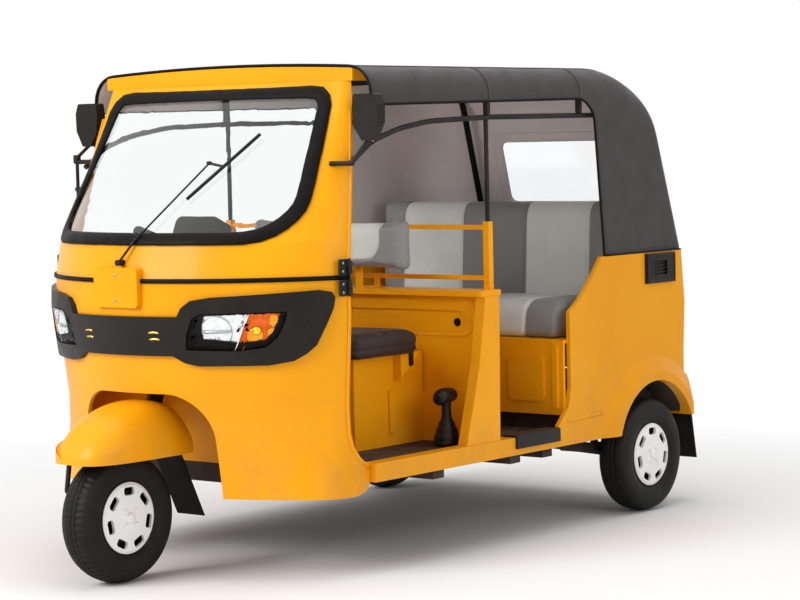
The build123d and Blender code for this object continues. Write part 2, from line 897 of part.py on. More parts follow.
driver_seat = fillet(driver_seat.faces().sort_by(Axis.Z)[-1].edges(), 30)
backrest_half_width = 360.0
backrest_low_z = 925.0
backrest_high_z = 1120.0
backrest_back_y = -8.0
backrest_thickness = 66.0
driver_backrest = block(
    (-backrest_half_width, backrest_half_width),
    (backrest_back_y - backrest_thickness, backrest_back_y),
    (backrest_low_z, backrest_high_z),
)
driver_backrest = fillet(driver_backrest.edges().filter_by(Axis.Y), 45)
driver_backrest = fillet(driver_backrest.faces().sort_by(Axis.Y)[0].edges(), 20)
bracket_x = 100.0
for side in (-1, 1):
    guard_rail += block(
        (side * bracket_x - 15, side * bracket_x + 15),
        (backrest_back_y, backrest_back_y + 6),
        (ledge_top_z, backrest_high_z - 40),
    )
    guard_rail += block(
        (side * bracket_x - 15, side * bracket_x + 15),
        (backrest_back_y, guard_post_y + 5),
        (ledge_top_z, ledge_top_z + 6),
    )
    guard_rail += block(
        (side * bracket_x - 10, side * bracket_x + 10),
        (guard_post_y - 5, guard_post_y + 5),
        (ledge_top_z, guard_low_rail_z + 2),
    )

lever_x = 520.0
lever_y = -70.0
lever_boot = Pos(lever_x, lever_y, floor_top_z) * Cone(
    46,
    22,
    90,
    align=(Align.CENTER, Align.CENTER, Align.MIN),
)
lever_stem = rod((lever_x, lever_y, floor_top_z + 60), (lever_x, lever_y - 8, floor_top_z + 165), 12.0)
lever_knob = Pos(lever_x, lever_y - 8, floor_top_z + 180) * Box(64, 60, 44)
lever_knob = fillet(lever_knob.edges(), 18)
hand_lever = lever_boot + lever_stem + lever_knob

# ---------------------------------------------------------------- passenger area
base_front_y = 465.0
base_half_width = sill_half_width - 16.0 - seam
base_top_z = 668.0
base_back_y = 1120.0
emboss_height = 7.0
seat_base = block(
    (-base_half_width, base_half_width),
    (base_front_y, base_front_y + sheet),
    (kick_top_z, base_top_z),
)
seat_base += block(
    (-sill_inner_x, sill_inner_x),
    (base_front_y, floor_back_y),
    (kick_top_z, kick_top_z + sheet),
)
# Two raised rectangles and two upright ribs stiffen the front wall.
# columns: x low, x high, z low, z high, corner radius
for x_low, x_high, z_low, z_high, corner in (
    (395.0, 548.0, 450.0, 603.0, 22.0),
    (585.0, 607.0, 428.0, 650.0, 8.0),
):
    outline = [(x_low, z_low), (x_high, z_low), (x_high, z_high), (x_low, z_high)]
    raised = front_prism(outline, base_front_y - emboss_height, base_front_y, corner)
    seat_base += raised + mirrored(raised)
seat_base += block(
    (-base_half_width, base_half_width),
    (base_front_y, base_back_y),
    (base_top_z - sheet, base_top_z),
)
bulkhead_y = 1040.0
seat_base += block(
    (-base_half_width, base_half_width),
    (bulkhead_y, bulkhead_y + sheet),
    (base_top_z - sheet, quarter_top_z - 10),
)
cushion_half_width = 592.0
cushion_front_y = 482.0
cushion_back_y = 905.0
cushion_top_z = 806.0
passenger_cushion = block(
    (-cushion_half_width, cushion_half_width), (cushion_front_y, cushion_back_y), (
        base_top_z + seam,
        cushion_top_z,
    )
)
passenger_cushion = fillet(passenger_cushion.faces().sort_by(Axis.Y)[0].edges().filter_by(Axis.X), 60)
back_half_width = 575.0
back_top_z = 1162.0
back_low_z = base_top_z + seam
back_front_low_y = cushion_back_y + seam
back_front_top_y = 930.0
back_rear_y = bulkhead_y - seam
passenger_backrest = side_prism(
    [
        (back_front_low_y, back_low_z),
        (back_rear_y, back_low_z),
        (back_rear_y, back_top_z),
        (back_front_top_y, back_top_z),
        (back_front_low_y, cushion_top_z),
    ],
    -back_half_width,
    back_half_width,
)
passenger_backrest = fillet(passenger_backrest.edges().filter_by(Axis.Y).group_by(Axis.Z)[-1], 70)

# ---------------------------------------------------------------- rear body
tail_corner = 45.0
tail_wall = 16.0
tail_low_z = sill_bottom_z
# columns: height, how far back the tail reaches
tail_sections = [
    (tail_low_z, 1264.0),
    (570.0, 1264.0),
    (760.0, 1276.0),
    (quarter_top_z, 1256.0),
]


def tail_wire(height, back_y, inset):
    """Plan outline of the rear body at one height: straight sides and rounded rear corners."""
    half = sill_half_width - inset
    front = 300.0
    back = back_y - inset
    turn = tail_corner - inset
    diagonal = turn * (1 - math.sqrt(0.5))
    return Wire(
        [
            Edge.make_line((-half, front, height), (half, front, height)),
            Edge.make_line((half, front, height), (half, back - turn, height)),
            Edge.make_three_point_arc(
                (half, back - turn, height), (half - diagonal, back - diagonal, height), (
                    half - turn,
                    back,
                    height,
                )
            ),
            Edge.make_line((half - turn, back, height), (turn - half, back, height)),
            Edge.make_three_point_arc(
                (turn - half, back, height), (diagonal - half, back - diagonal, height), (
                    -half,
                    back - turn,
                    height,
                )
            ),
            Edge.make_line((-half, back - turn, height), (-half, front, height)),
        ]
    )


def tail_form(inset):
    return Solid.make_loft([tail_wire(z, y, inset) for z, y in tail_sections], True)


tail_shell = tail_form(0.0) - tail_form(tail_wall)
arch_radius = 255.0
flare_radius = 345.0
flare_flat_radius = 288.0
flare_proud = 23.0
arch_y = rear_axle_y + 26.0
arch_z = 225.0
tail_split_x = 555.0
quarter_side = side_prism(
    [
        (sill_back_y + seam, tail_low_z - 5),
        (sill_back_y + seam, 372),
        (470, 432),
        (quarter_front_y, 500),
        (quarter_front_y, 765),
        (550, 806),
        (614, 861),
        (quarter_top_front_y, quarter_top_z + 5),
        (1400, quarter_top_z + 5),
        (1400, 330),
        (arch_y, 330),
        (arch_y, tail_low_z - 5),
    ],
    tail_split_x,
    800,
)
arch_cut = rod((400, arch_y, arch_z), (800, arch_y, arch_z), arch_radius)
flare_profile = Polyline(
    (sill_half_width - tail_wall, 0, arch_radius),
    (sill_half_width + flare_proud, 0, arch_radius),
    (sill_half_width + flare_proud, 0, flare_flat_radius),
    (sill_half_width, 0, flare_radius),
    (sill_half_width - tail_wall, 0, flare_radius),
    close=True,
)
flare = Pos(0, arch_y, arch_z) * revolve(make_face(flare_profile), Axis.X)
flare_limits = side_prism(
    [(600, tail_low_z), (900, tail_low_z), (arch_y, 330), (1262, 330), (1262, 600), (600, 600)], 600, 700
)
rear_quarter_left = ((tail_shell & quarter_side) + (flare & flare_limits)) - arch_cut
rear_quarter_right = mirrored(rear_quarter_left)

# Liners that close each rear wheel's space towards the engine and the cabin.
liner_wall = 5.0
liner_inner_x = 512.0
liner_low_z = 306.0
liner_outer_x = sill_half_width - tail_wall - seam
liner_back_y = body_back_y - tail_wall - 4
liner_limits = block(
    (liner_inner_x, liner_outer_x), (600, liner_back_y), (liner_low_z, arch_z + arch_radius + liner_wall + 5)
)
liner_drum = rod((liner_inner_x, arch_y, arch_z), (liner_outer_x, arch_y, arch_z), arch_radius + liner_wall)
liner_drum -= rod(
    (liner_inner_x + liner_wall, arch_y, arch_z), (liner_outer_x + 5, arch_y, arch_z), arch_radius
)
wheel_liner_left = (liner_drum & liner_limits) & tail_form(tail_wall + seam)
wheel_liners = wheel_liner_left + mirrored(wheel_liner_left)

hatch_half_width = 400.0
hatch_low_z = 486.0
hatch_top_z = 860.0
hatch_gap = 6.0
rear_strip = block((-tail_split_x, tail_split_x), (1100, 1400), (330, quarter_top_z))
tail_panel_shell = tail_shell & rear_strip
hatch_opening = block(
    (-hatch_half_width - hatch_gap, hatch_half_width + hatch_gap),
    (1100, 1400),
    (hatch_low_z - hatch_gap, hatch_top_z + hatch_gap),
)
hatch_blank = block((-hatch_half_width, hatch_half_width), (1100, 1400), (hatch_low_z, hatch_top_z))
rear_panel = tail_panel_shell - hatch_opening
engine_hatch = tail_panel_shell & hatch_blank

# Hatch hinges: two pins on lugs above the opening, and an eye on the hatch for each.
hinge_pin_radius = 5.0
hinge_eye_radius = 11.0
hinge_half_length = 22.0
lug_thickness = 8.0
hinge_x = 260.0
hinge_y = 1294.0
hinge_z = hatch_top_z + 12.0
for side in (-1, 1):
    centre = side * hinge_x
    rear_panel += rod(
        (centre - hinge_half_length - lug_thickness, hinge_y, hinge_z),
        (centre + hinge_half_length + lug_thickness, hinge_y, hinge_z),
        hinge_pin_radius,
    )
    for end in (-1, 1):
        low = centre + end * (hinge_half_length + 1)
        high = low + end * lug_thickness
        rear_panel += block(
            (min(low, high), max(low, high)),
            (hinge_y - 40, hinge_y + 8),
            (hinge_z + 0, hinge_z + 22),
        )
        rear_panel += block(
            (min(low, high), max(low, high)),
            (hinge_y - 8, hinge_y + 8),
            (hinge_z - 8, hinge_z + 22),
        )
    engine_hatch += block(
        (centre - hinge_half_length, centre + hinge_half_length),
        (hinge_y - 34, hinge_y),
        (hatch_top_z - 30, hatch_top_z - 20),
    )
    eye = rod(
        (centre - hinge_half_length, hinge_y, hinge_z),
        (centre + hinge_half_length, hinge_y, hinge_z),
        hinge_eye_radius,
    )
    strap = block(
        (centre - hinge_half_length, centre + hinge_half_length),
        (hinge_y - 3, hinge_y + 6),
        (hatch_top_z - 30, hinge_z),
    )
    bore = rod(
        (centre - hinge_half_length - 1, hinge_y, hinge_z),
        (centre + hinge_half_length + 1, hinge_y, hinge_z),
        hinge_pin_radius + running_clearance,
    )
    engine_hatch = engine_hatch + eye + strap - bore

lamp_half = 45.0
tail_lamp_x = 480.0
tail_lamp_y = 1296.0
tail_lamp_z = (640.0, 800.0)
tail_lamp_left = block((tail_lamp_x - lamp_half, tail_lamp_x + lamp_half), (1200, tail_lamp_y), tail_lamp_z)
tail_lamp_left = fillet(tail_lamp_left.edges().filter_by(Axis.Y), 16) - tail_form(0.0)
tail_lamps = tail_lamp_left + mirrored(tail_lamp_left)

bumper_z = (375.0, 475.0)
bumper_front_y = 1264.0 + seam
bumper_back_y = 1304.0
bumper_half_width = 625.0
rear_bumper = block((-bumper_half_width, bumper_half_width), (bumper_front_y, bumper_back_y), bumper_z)
rear_bumper = fillet(rear_bumper.edges().filter_by(Axis.Z).group_by(Axis.Y)[-1], 25)
flap_top = (1276.0, bumper_z[0] + 10)
rear_flap = side_prism(
    [
        (flap_top[0], flap_top[1]),
        (flap_top[0] + flap_thickness, flap_top[1]),
        (rear_end_y, 158),
        (rear_end_y - flap_thickness, 158),
    ],
    510,
    640,
)
flap_bracket = block((500, 640), (bumper_front_y + 2, bumper_front_y + 22), (340, bumper_z[0] + 2))
rear_bumper += rear_flap + mirrored(rear_flap) + flap_bracket + mirrored(flap_bracket)

vent_y = (974.0, 1166.0)
vent_z = (836.0, 946.0)
vent_proud = 12.0
vent_left = block((sill_half_width, sill_half_width + vent_proud), vent_y, vent_z)
vent_left -= block(
    (sill_half_width + 4, sill_half_width + 40),
    (vent_y[0] + 55, vent_y[1] - 55),
    (vent_z[0] + 26, vent_z[1] - 26),
)
side_vents = vent_left + mirrored(vent_left)

step_left = block((sill_inner_x + 4, sill_half_width + 10), (150, 405), (sill_top_z, sill_top_z + 8))
step_left += block((sill_half_width, sill_half_width + 10), (150, 405), (322, sill_top_z + 8))
step_plates = step_left + mirrored(step_left)

# ---------------------------------------------------------------- engine and rear suspension
engine_half_width = 190.0
engine_y = (700.0, 1100.0)
engine_z = (frame_top_z, 610.0)
engine_block = block((-engine_half_width, engine_half_width), engine_y, engine_z)

arm_pivot = (470.0, 560.0, 300.0)
arm_inner_x = 500.0
rear_stub_end_x = rear_track / 2 + 38.0


def rear_arm():
    """Trailing arm, stub axle and damper that carry the left rear wheel."""
    wheel_centre = (arm_inner_x, rear_axle_y, tyre_radius)
    arm = rod((arm_inner_x, arm_pivot[1], 290), wheel_centre, 20.0)
    arm += rod((rail_half_gap + rail_width, arm_pivot[1], 290), (arm_inner_x + 20, arm_pivot[1], 290), 18.0)
    arm += rod(
        (arm_inner_x - 24, rear_axle_y, tyre_radius),
        (arm_inner_x + 24, rear_axle_y, tyre_radius),
        34.0,
    )
    arm += rod(
        (arm_inner_x, rear_axle_y, tyre_radius),
        (rear_stub_end_x, rear_axle_y, tyre_radius),
        stub_radius,
    )
    arm += rod((engine_half_width + 60, rear_axle_y, tyre_radius), wheel_centre, 12.0)
    arm += rod(
        (arm_inner_x - 40, rear_axle_y - 90, 245),
        (arm_inner_x - 60, rear_axle_y - 60, frame_top_z),
        15.0,
    )
    arm += rod((arm_inner_x - 40, rear_axle_y - 90, 245), (arm_inner_x, rear_axle_y - 90, 245), 10.0)
    return arm


# ---------------------------------------------------------------- wheels
hub_half = 46.0
bead_half_width = 46.0
disc_thickness = 8.0
tread_half_width = 38.0
tread_drop = 11.0


def tyre_at(x, y):
    """Tyre revolved about its axle: crowned tread, bulging walls and a bead on the rim."""
    half = tyre_width / 2
    shoulder = (tread_half_width, 0, tyre_radius - tread_drop)
    far_shoulder = (-tread_half_width, 0, tyre_radius - tread_drop)
    outline = Wire(
        [
            Edge.make_line((-bead_half_width, 0, rim_radius), (bead_half_width, 0, rim_radius)),
            Edge.make_three_point_arc(
                (bead_half_width, 0, rim_radius),
                (half, 0, tyre_radius - 54),
                shoulder,
            ),
            Edge.make_three_point_arc(shoulder, (0, 0, tyre_radius), far_shoulder),
            Edge.make_three_point_arc(
                far_shoulder,
                (-half, 0, tyre_radius - 54),
                (-bead_half_width, 0, rim_radius),
            ),
        ]
    )
    return Pos(x, y, tyre_radius) * revolve(Face(outline), Axis.X)


slot_count = 7
slot_radius = 86.0
slot_length = 46.0
slot_width = 26.0
slot_corner = 9.0
cover_wall = 4.0
cover_edge_x = bead_half_width + 2.0
cover_crown = 8.0


def wheel_at(x, y, outer_side):
    """Rim, hub with a blind bore, and on the outer side a domed cover with seven slots."""
    turned = Rot(0, 90, 0)
    rim = turned * Cylinder(rim_radius, 2 * bead_half_width)
    rim -= turned * Cylinder(rim_radius - 6, 2 * bead_half_width + 2)
    wheel = rim + turned * Cylinder(rim_radius - 4, disc_thickness)
    wheel += turned * Cylinder(hub_radius, 2 * hub_half)
    edge_x = cover_edge_x
    dome = Polyline(
        (edge_x - cover_wall, 0, 0),
        (edge_x - cover_wall, 0, wheel_cover_radius),
        (edge_x, 0, wheel_cover_radius),
        (edge_x + cover_crown * 0.7, 0, wheel_cover_radius * 0.92),
        (edge_x + cover_crown, 0, wheel_cover_radius * 0.5),
        (edge_x + cover_crown, 0, 0),
        close=True,
    )
    cover = revolve(make_face(dome), Axis.X)
    for index in range(slot_count):
        slot = Pos(edge_x, 0, slot_radius) * Box(40, slot_length, slot_width)
        slot = fillet(slot.edges().filter_by(Axis.X), slot_corner)
        cover -= Rot(360 / slot_count * index, 0, 0) * slot
    wheel += cover
    bore_end = hub_half - 6
    wheel -= rod((-hub_half - 5, 0, 0), (bore_end, 0, 0), stub_radius + running_clearance)
    if outer_side < 0:
        wheel = mirrored(wheel)
    return Pos(x, y, tyre_radius) * wheel


rear_wheel_x = rear_track / 2
rear_arm_left = rear_arm()
rear_arm_right = mirrored(rear_arm_left)

# ---------------------------------------------------------------- mirrors and wiper
mirror_head_centre = (622.0, -574.0, 1456.0)
mirror_head_outline = [
    (-46, 74),
    (40, 74),
    (52, 40),
    (50, -20),
    (22, -74),
    (-14, -74),
    (-46, -30),
    (-52, 30),
]
mirror_head_points = [(mirror_head_centre[0] + x, mirror_head_centre[2] + z) for x, z in mirror_head_outline]
mirror_head = front_prism(mirror_head_points, mirror_head_centre[1] - 20, mirror_head_centre[1] + 20, 9)
mirror_foot_z = 1312.0
mirror_foot_y = -668.0
mirror_stem_low = (624.0, mirror_foot_y, mirror_foot_z)
mirror_stem_top = (mirror_head_centre[0], mirror_head_centre[1], mirror_head_centre[2] - 66)
pillar_form = cowl_solid(cowl_heights(screen_bottom_z, header_bottom_z), 0.0)
mirror_left = mirror_head + rod(mirror_stem_top, mirror_stem_low, 6.0)
mirror_left += rod((632, mirror_foot_y, mirror_foot_z), (540, mirror_foot_y, mirror_foot_z), 8.0)
mirror_left -= pillar_form
# The right-hand mirror stands on a straight stem with two brackets to the pillar.
stem_x = -626.0
stem_low_z = 1212.0
mirror_right = mirrored(mirror_head)
stem_y = -640.0
clamp_z = 1340.0
mirror_right += block((stem_x - 9, stem_x + 9), (stem_y - 9, stem_y + 9), (clamp_z - 14, clamp_z + 14))
mirror_right += rod(
    (stem_x, mirror_head_centre[1], mirror_head_centre[2] - 66),
    (stem_x, stem_y + 1, clamp_z + 5),
    6.0,
)
mirror_right += rod((stem_x, stem_y, clamp_z - 6), (stem_x, stem_y, stem_low_z), 6.0)
for bracket_z in (1330.0, 1236.0):
    mirror_right += rod((stem_x - 7, stem_y, bracket_z), (-540, stem_y, bracket_z), 8.0)
mirror_right -= pillar_form
mirrors = mirror_left + mirror_right


def front_surface(x, height, proud):
    """A point standing proud of the front body's central arc."""
    half_width, front_y, side_y, corner = cowl_values(height)
    across = half_width - corner
    reach = side_y - front_y
    radius = (across**2 + reach**2 - corner**2) / (2 * (reach - corner))
    y = front_y + radius - math.sqrt(radius**2 - x**2)
    return (x, y - proud, height)


wiper_pivot = front_surface(8, 1014, 0)
wiper_pivot_out = front_surface(8, 1014, 22)
wiper_knee = front_surface(53, 1084, 20)
wiper_blade_middle = front_surface(167, 1321, 22)
blade_low = front_surface(153, 1209, 12)
blade_high = front_surface(291, 1410, 12)
wiper_link_foot = tuple((Vector(*blade_low) + Vector(*blade_high)) * 0.5)
wiper = rod(wiper_pivot, (wiper_pivot_out[0], wiper_pivot_out[1] - 6, wiper_pivot_out[2]), 10.0)
wiper += rod(wiper_pivot_out, wiper_knee, 4.0)
for joint in (wiper_knee, wiper_blade_middle):
    wiper += rod((joint[0], joint[1] - 7, joint[2]), (joint[0], joint[1] + 6, joint[2]), 6.5)
wiper += rod(wiper_knee, wiper_blade_middle, 3.0)
wiper += rod(wiper_blade_middle, wiper_link_foot, 4.5)
wiper += rod(blade_low, blade_high, 5.5)
wiper -= cowl_solid(cowl_heights(belt_z + belt_gap / 2, header_bottom_z), 0.0)

parts = {
    "front_cowl": front_cowl,
    "windscreen_panel": windscreen_panel,
    "windscreen_seal": windscreen_seal,
    "windscreen": windscreen,
    "belt_trim": belt_trim,
    "plate_board": plate_board,
    "lamp_fascia": lamp_fascia,
    "headlamps": headlamps,
    "front_indicators": front_indicators,
    "wiper": wiper,
    "mirrors": mirrors,
    "roof_header": roof_header,
    "canopy": canopy,
    "rear_window": rear_window,
    "canopy_frame": canopy_frame,
    "sills": sills,
    "floor_pan": floor_pan,
    "underframe": underframe,
    "head_frame": head_frame,
    "toe_board": toe_board,
    "partition": partition,
    "guard_rail": guard_rail,
    "driver_pedestal": driver_pedestal,
    "driver_seat": driver_seat,
    "driver_backrest": driver_backrest,
    "hand_lever": hand_lever,
    "seat_base": seat_base,
    "passenger_cushion": passenger_cushion,
    "passenger_backrest": passenger_backrest,
    "rear_quarter_left": rear_quarter_left,
    "rear_quarter_right": rear_quarter_right,
    "wheel_liners": wheel_liners,
    "rear_panel": rear_panel,
    "engine_hatch": engine_hatch,
    "tail_lamps": tail_lamps,
    "rear_bumper": rear_bumper,
    "side_vents": side_vents,
    "step_plates": step_plates,
    "engine_block": engine_block,
    "rear_arm_left": rear_arm_left,
    "rear_arm_right": rear_arm_right,
    "steering_fork": steering_fork,
    "front_mudguard": front_mudguard,
    "front_mudflap": front_mudflap,
    "handlebar": handlebar,
    "instrument_pod": instrument_pod,
    "front_tyre": tyre_at(0, front_axle_y),
    "front_wheel": wheel_at(0, front_axle_y, 1),
    "rear_left_tyre": tyre_at(rear_wheel_x, rear_axle_y),
    "rear_left_wheel": wheel_at(rear_wheel_x, rear_axle_y, 1),
    "rear_right_tyre": tyre_at(-rear_wheel_x, rear_axle_y),
    "rear_right_wheel": wheel_at(-rear_wheel_x, rear_axle_y, -1),
}
os.makedirs("parts", exist_ok=True)
for name, shape in parts.items():
    export_step(Compound(children=list(shape.solids())), f"parts/{name}.step")
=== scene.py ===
# %% [markdown]
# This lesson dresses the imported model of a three-wheeled auto rickshaw.
# The frame comes first: every piece below is placed in the frame's own metres,
# with the floor at Z = 0, the front facing -Y and the vehicle's left side at +X.

# %% Load the frame
import bmesh
import bpy
import math
from mathutils import Matrix, Vector, geometry
from mathutils.bvhtree import BVHTree


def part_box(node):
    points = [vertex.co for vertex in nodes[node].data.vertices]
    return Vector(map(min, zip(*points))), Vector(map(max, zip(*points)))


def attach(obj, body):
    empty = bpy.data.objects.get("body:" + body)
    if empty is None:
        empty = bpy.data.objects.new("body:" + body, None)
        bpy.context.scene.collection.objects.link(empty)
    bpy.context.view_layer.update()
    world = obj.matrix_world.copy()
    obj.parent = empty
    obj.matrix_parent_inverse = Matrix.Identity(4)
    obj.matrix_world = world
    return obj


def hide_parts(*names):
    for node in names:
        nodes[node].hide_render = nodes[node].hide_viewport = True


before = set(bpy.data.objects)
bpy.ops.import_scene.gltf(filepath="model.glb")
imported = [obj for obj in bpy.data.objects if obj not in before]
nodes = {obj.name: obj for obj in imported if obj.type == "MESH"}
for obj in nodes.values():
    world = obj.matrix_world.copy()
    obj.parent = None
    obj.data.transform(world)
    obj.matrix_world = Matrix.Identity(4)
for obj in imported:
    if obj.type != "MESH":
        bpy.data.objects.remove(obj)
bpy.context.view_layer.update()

scene = bpy.context.scene

# %% [markdown]
# The camera stands about eight and a half metres away, at chest height, out from
# the front left corner. A long lens keeps the body's lines nearly parallel. The
# camera's own axes are worked out from its turn, pitch and roll, in radians.

# %% Camera
camera_place = Vector((5.5404, -6.6020, 1.3859))
turn, pitch, roll = 0.67325, 0.06550, -0.02224
ahead = Vector((-math.sin(turn) * math.cos(pitch), math.cos(turn) * math.cos(pitch), -math.sin(pitch)))
level_right = Vector((math.cos(turn), math.sin(turn), 0))
level_up = level_right.cross(ahead)
right = math.cos(roll) * level_right + math.sin(roll) * level_up
up = -math.sin(roll) * level_right + math.cos(roll) * level_up
camera_data = bpy.data.cameras.new("studio_camera")
camera_data.lens = 110.69
camera_data.sensor_width = 36.0
camera_data.sensor_fit = "HORIZONTAL"
camera_data.clip_end = 100.0
camera = bpy.data.objects.new("studio_camera", camera_data)
camera.matrix_world = Matrix(
    (
        (right.x, up.x, -ahead.x, camera_place.x),
        (right.y, up.y, -ahead.y, camera_place.y),
        (right.z, up.z, -ahead.z, camera_place.z),
        (0, 0, 0, 1),
    )
)
scene.collection.objects.link(camera)
scene.camera = camera
print("camera at", tuple(round(v, 2) for v in camera.location))

# %% [markdown]
# A material is a small graph of nodes. These helpers add a node, join two
# sockets, and start a material from one principled shader, so each finish below
# only has to say what is special about it. Object coordinates are metres here,
# because every object sits at the origin. Patterns come from noise, which more
# helpers stretch over a range, mix, add up, multiply or turn into relief.

# %% Node helpers
def new_material(name):
    material = bpy.data.materials.new(name)
    material.use_nodes = True
    material.node_tree.nodes.clear()
    return material, material.node_tree


def add(tree, kind, **values):
    node = tree.nodes.new(kind)
    for key, value in values.items():
        if key in node.inputs:
            node.inputs[key].default_value = value
        else:
            setattr(node, key, value)
    return node


def join(tree, source, target):
    tree.links.new(source, target)


def surface(tree, sockets):
    shader = tree.nodes.new("ShaderNodeBsdfPrincipled")
    for key, value in sockets.items():
        shader.inputs[key].default_value = value
    out = tree.nodes.new("ShaderNodeOutputMaterial")
    join(tree, shader.outputs["BSDF"], out.inputs["Surface"])
    return shader


def metres(tree, stretch=(1, 1, 1)):
    coordinate = tree.nodes.new("ShaderNodeTexCoord")
    mapping = tree.nodes.new("ShaderNodeMapping")
    mapping.inputs["Scale"].default_value = stretch
    join(tree, coordinate.outputs["Object"], mapping.inputs["Vector"])
    return mapping.outputs["Vector"]


def split_axes(tree, where):
    parts = tree.nodes.new("ShaderNodeSeparateXYZ")
    join(tree, where, parts.inputs["Vector"])
    return parts.outputs


print("node helpers ready")

# %% Pattern helpers
def noise(tree, where, scale, detail=4.0, rough=0.55):
    node = add(tree, "ShaderNodeTexNoise", Scale=scale, Detail=detail, Roughness=rough)
    join(tree, where, node.inputs["Vector"])
    return node.outputs["Fac"]


def spread(tree, value, low, high, to_low=0.0, to_high=1.0):
    node = tree.nodes.new("ShaderNodeMapRange")
    node.inputs["From Min"].default_value = low
    node.inputs["From Max"].default_value = high
    node.inputs["To Min"].default_value = to_low
    node.inputs["To Max"].default_value = to_high
    join(tree, value, node.inputs["Value"])
    return node.outputs["Result"]


def mixed(tree, share, first, second):
    node = tree.nodes.new("ShaderNodeMix")
    node.data_type = "RGBA"
    for key, value in ((6, first), (7, second)):
        if isinstance(value, tuple):
            node.inputs[key].default_value = (*value, 1.0) if len(value) == 3 else value
        else:
            join(tree, value, node.inputs[key])
    if isinstance(share, float):
        node.inputs[0].default_value = share
    else:
        join(tree, share, node.inputs[0])
    return node.outputs[2]


def sum_of(tree, *values, how="ADD"):
    total = values[0]
    for value in values[1:]:
        node = tree.nodes.new("ShaderNodeMath")
        node.operation = how
        join(tree, total, node.inputs[0])
        if isinstance(value, float):
            node.inputs[1].default_value = value
        else:
            join(tree, value, node.inputs[1])
        total = node.outputs[0]
    return total


def relief(tree, shader, height, distance, strength=1.0):
    node = tree.nodes.new("ShaderNodeBump")
    node.inputs["Distance"].default_value = distance
    node.inputs["Strength"].default_value = strength
    join(tree, height, node.inputs["Height"])
    join(tree, node.outputs["Normal"], shader.inputs["Normal"])


print("pattern helpers ready")

# %% [markdown]
# The body is pressed steel under golden enamel. It could be one flat colour,
# but real enamel drifts a little in tone, holds road dust near the sills, and
# has a faint orange-peel ripple that only shows in reflections. A thin clear
# coat on the shader gives the soft shine over it.

# %% Body enamel
road_dust, chip_brown = (0.34, 0.20, 0.09), (0.22, 0.11, 0.03)
dust_top_z, dust_foot_z = 0.62, 0.24


def enamel(name, colour, dusty=0.16):
    material, tree = new_material(name)
    coat = {"Coat Weight": 0.07, "Coat Roughness": 0.10}
    shader = surface(tree, {"Specular IOR Level": 0.20, "IOR": 1.45, **coat})
    where = metres(tree)
    tone = spread(tree, noise(tree, where, 1.6, 3.0), 0.35, 0.65)
    deeper = tuple(c * k for c, k in zip(colour, (0.93, 0.86, 0.7)))
    paint = mixed(tree, tone, colour, deeper)
    axes = split_axes(tree, where)
    low = spread(tree, axes["Z"], dust_top_z, dust_foot_z)
    grime = spread(tree, noise(tree, where, 9.0, 8.0, 0.65), 0.42, 0.72)
    share = sum_of(tree, low, grime, dusty * 2.2, how="MULTIPLY")
    dusted = mixed(tree, share, paint, road_dust)
    specks = spread(tree, noise(tree, where, 420.0, 2.0), 0.735, 0.77, 0.0, 0.35)
    join(tree, mixed(tree, specks, dusted, chip_brown), shader.inputs["Base Color"])
    sheen_map = spread(tree, noise(tree, where, 5.0, 6.0), 0.3, 0.7, 0.26, 0.40)
    duller = sum_of(tree, share, 0.35, how="MULTIPLY")
    join(tree, sum_of(tree, sheen_map, duller), shader.inputs["Roughness"])
    relief(tree, shader, noise(tree, where, 230.0, 2.0), 0.0002, 0.35)
    return material


golden = (0.93, 0.395, 0.003)
body_enamel = enamel("golden_enamel", golden)
# Inside parts take a lighter copy of the enamel: painted light for the shaded interior.
lightened_inner_enamel = enamel("golden_enamel_lightened_inside", (1.0, 0.42, 0.005), dusty=0.12)
print("enamel", body_enamel.name, lightened_inner_enamel.name)

# %% [markdown]
# Black steel, black rubber and moulded plastic look alike from afar but not up
# close: steel chips and rusts on its edges, rubber is dull and powdery, and
# plastic has an even fine grain. Each one is the same short graph with its own
# grain size, shine and dust.

# %% Dark finishes
grey_dust = (0.16, 0.13, 0.10)


def dark_finish(
    name, colour, rough, grain, grain_depth, dust=grey_dust, dust_share=0.25, metal=0.0, gloss=0.22
):
    """A dark surface: its roughness, its grain's scale and depth, then its dust and how much of it."""
    material, tree = new_material(name)
    shader = surface(tree, {"Metallic": metal, "Specular IOR Level": gloss, "IOR": 1.48})
    where = metres(tree)
    cloud = spread(tree, noise(tree, where, 7.0, 7.0, 0.62), 0.4, 0.75, 0.0, dust_share)
    tone = spread(tree, noise(tree, where, grain * 0.5, 3.0), 0.3, 0.7)
    base = mixed(tree, tone, colour, tuple(c * 0.72 for c in colour))
    join(tree, mixed(tree, cloud, base, dust), shader.inputs["Base Color"])
    worn = noise(tree, where, 16.0, 6.0)
    join(tree, spread(tree, worn, 0.3, 0.7, rough - 0.07, rough + 0.1), shader.inputs["Roughness"])
    relief(tree, shader, noise(tree, where, grain, 4.0), grain_depth, 0.6)
    return material


black_steel = dark_finish("black_steel", (0.010, 0.009, 0.009), 0.38, 160.0, 0.0002, dust_share=0.12)
frame_steel = dark_finish(
    "underframe_steel", (0.030, 0.026, 0.022), 0.6, 120.0, 0.0004, (0.15, 0.085, 0.045), 0.5
)
black_rubber = dark_finish(
    "black_rubber", (0.005, 0.004, 0.004), 0.5, 320.0, 0.0002, dust_share=0.03, gloss=0.10
)
bezel_plastic = dark_finish("bezel_plastic", (0.013, 0.009, 0.007), 0.34, 520.0, 0.0001, dust_share=0.04)
mat_rubber = dark_finish(
    "floor_mat_rubber", (0.030, 0.022, 0.018), 0.66, 240.0, 0.0004, (0.13, 0.085, 0.055), 0.55
)
grey_casting = dark_finish(
    "grey_casting", (0.16, 0.155, 0.15), 0.62, 190.0, 0.0006, (0.10, 0.08, 0.06), 0.5, 0.5
)
worn_plate = dark_finish(
    "worn_tread_plate", (0.030, 0.026, 0.025), 0.5, 210.0, 0.0004, (0.10, 0.07, 0.05), 0.3, 0.3
)
print("dark finishes made")

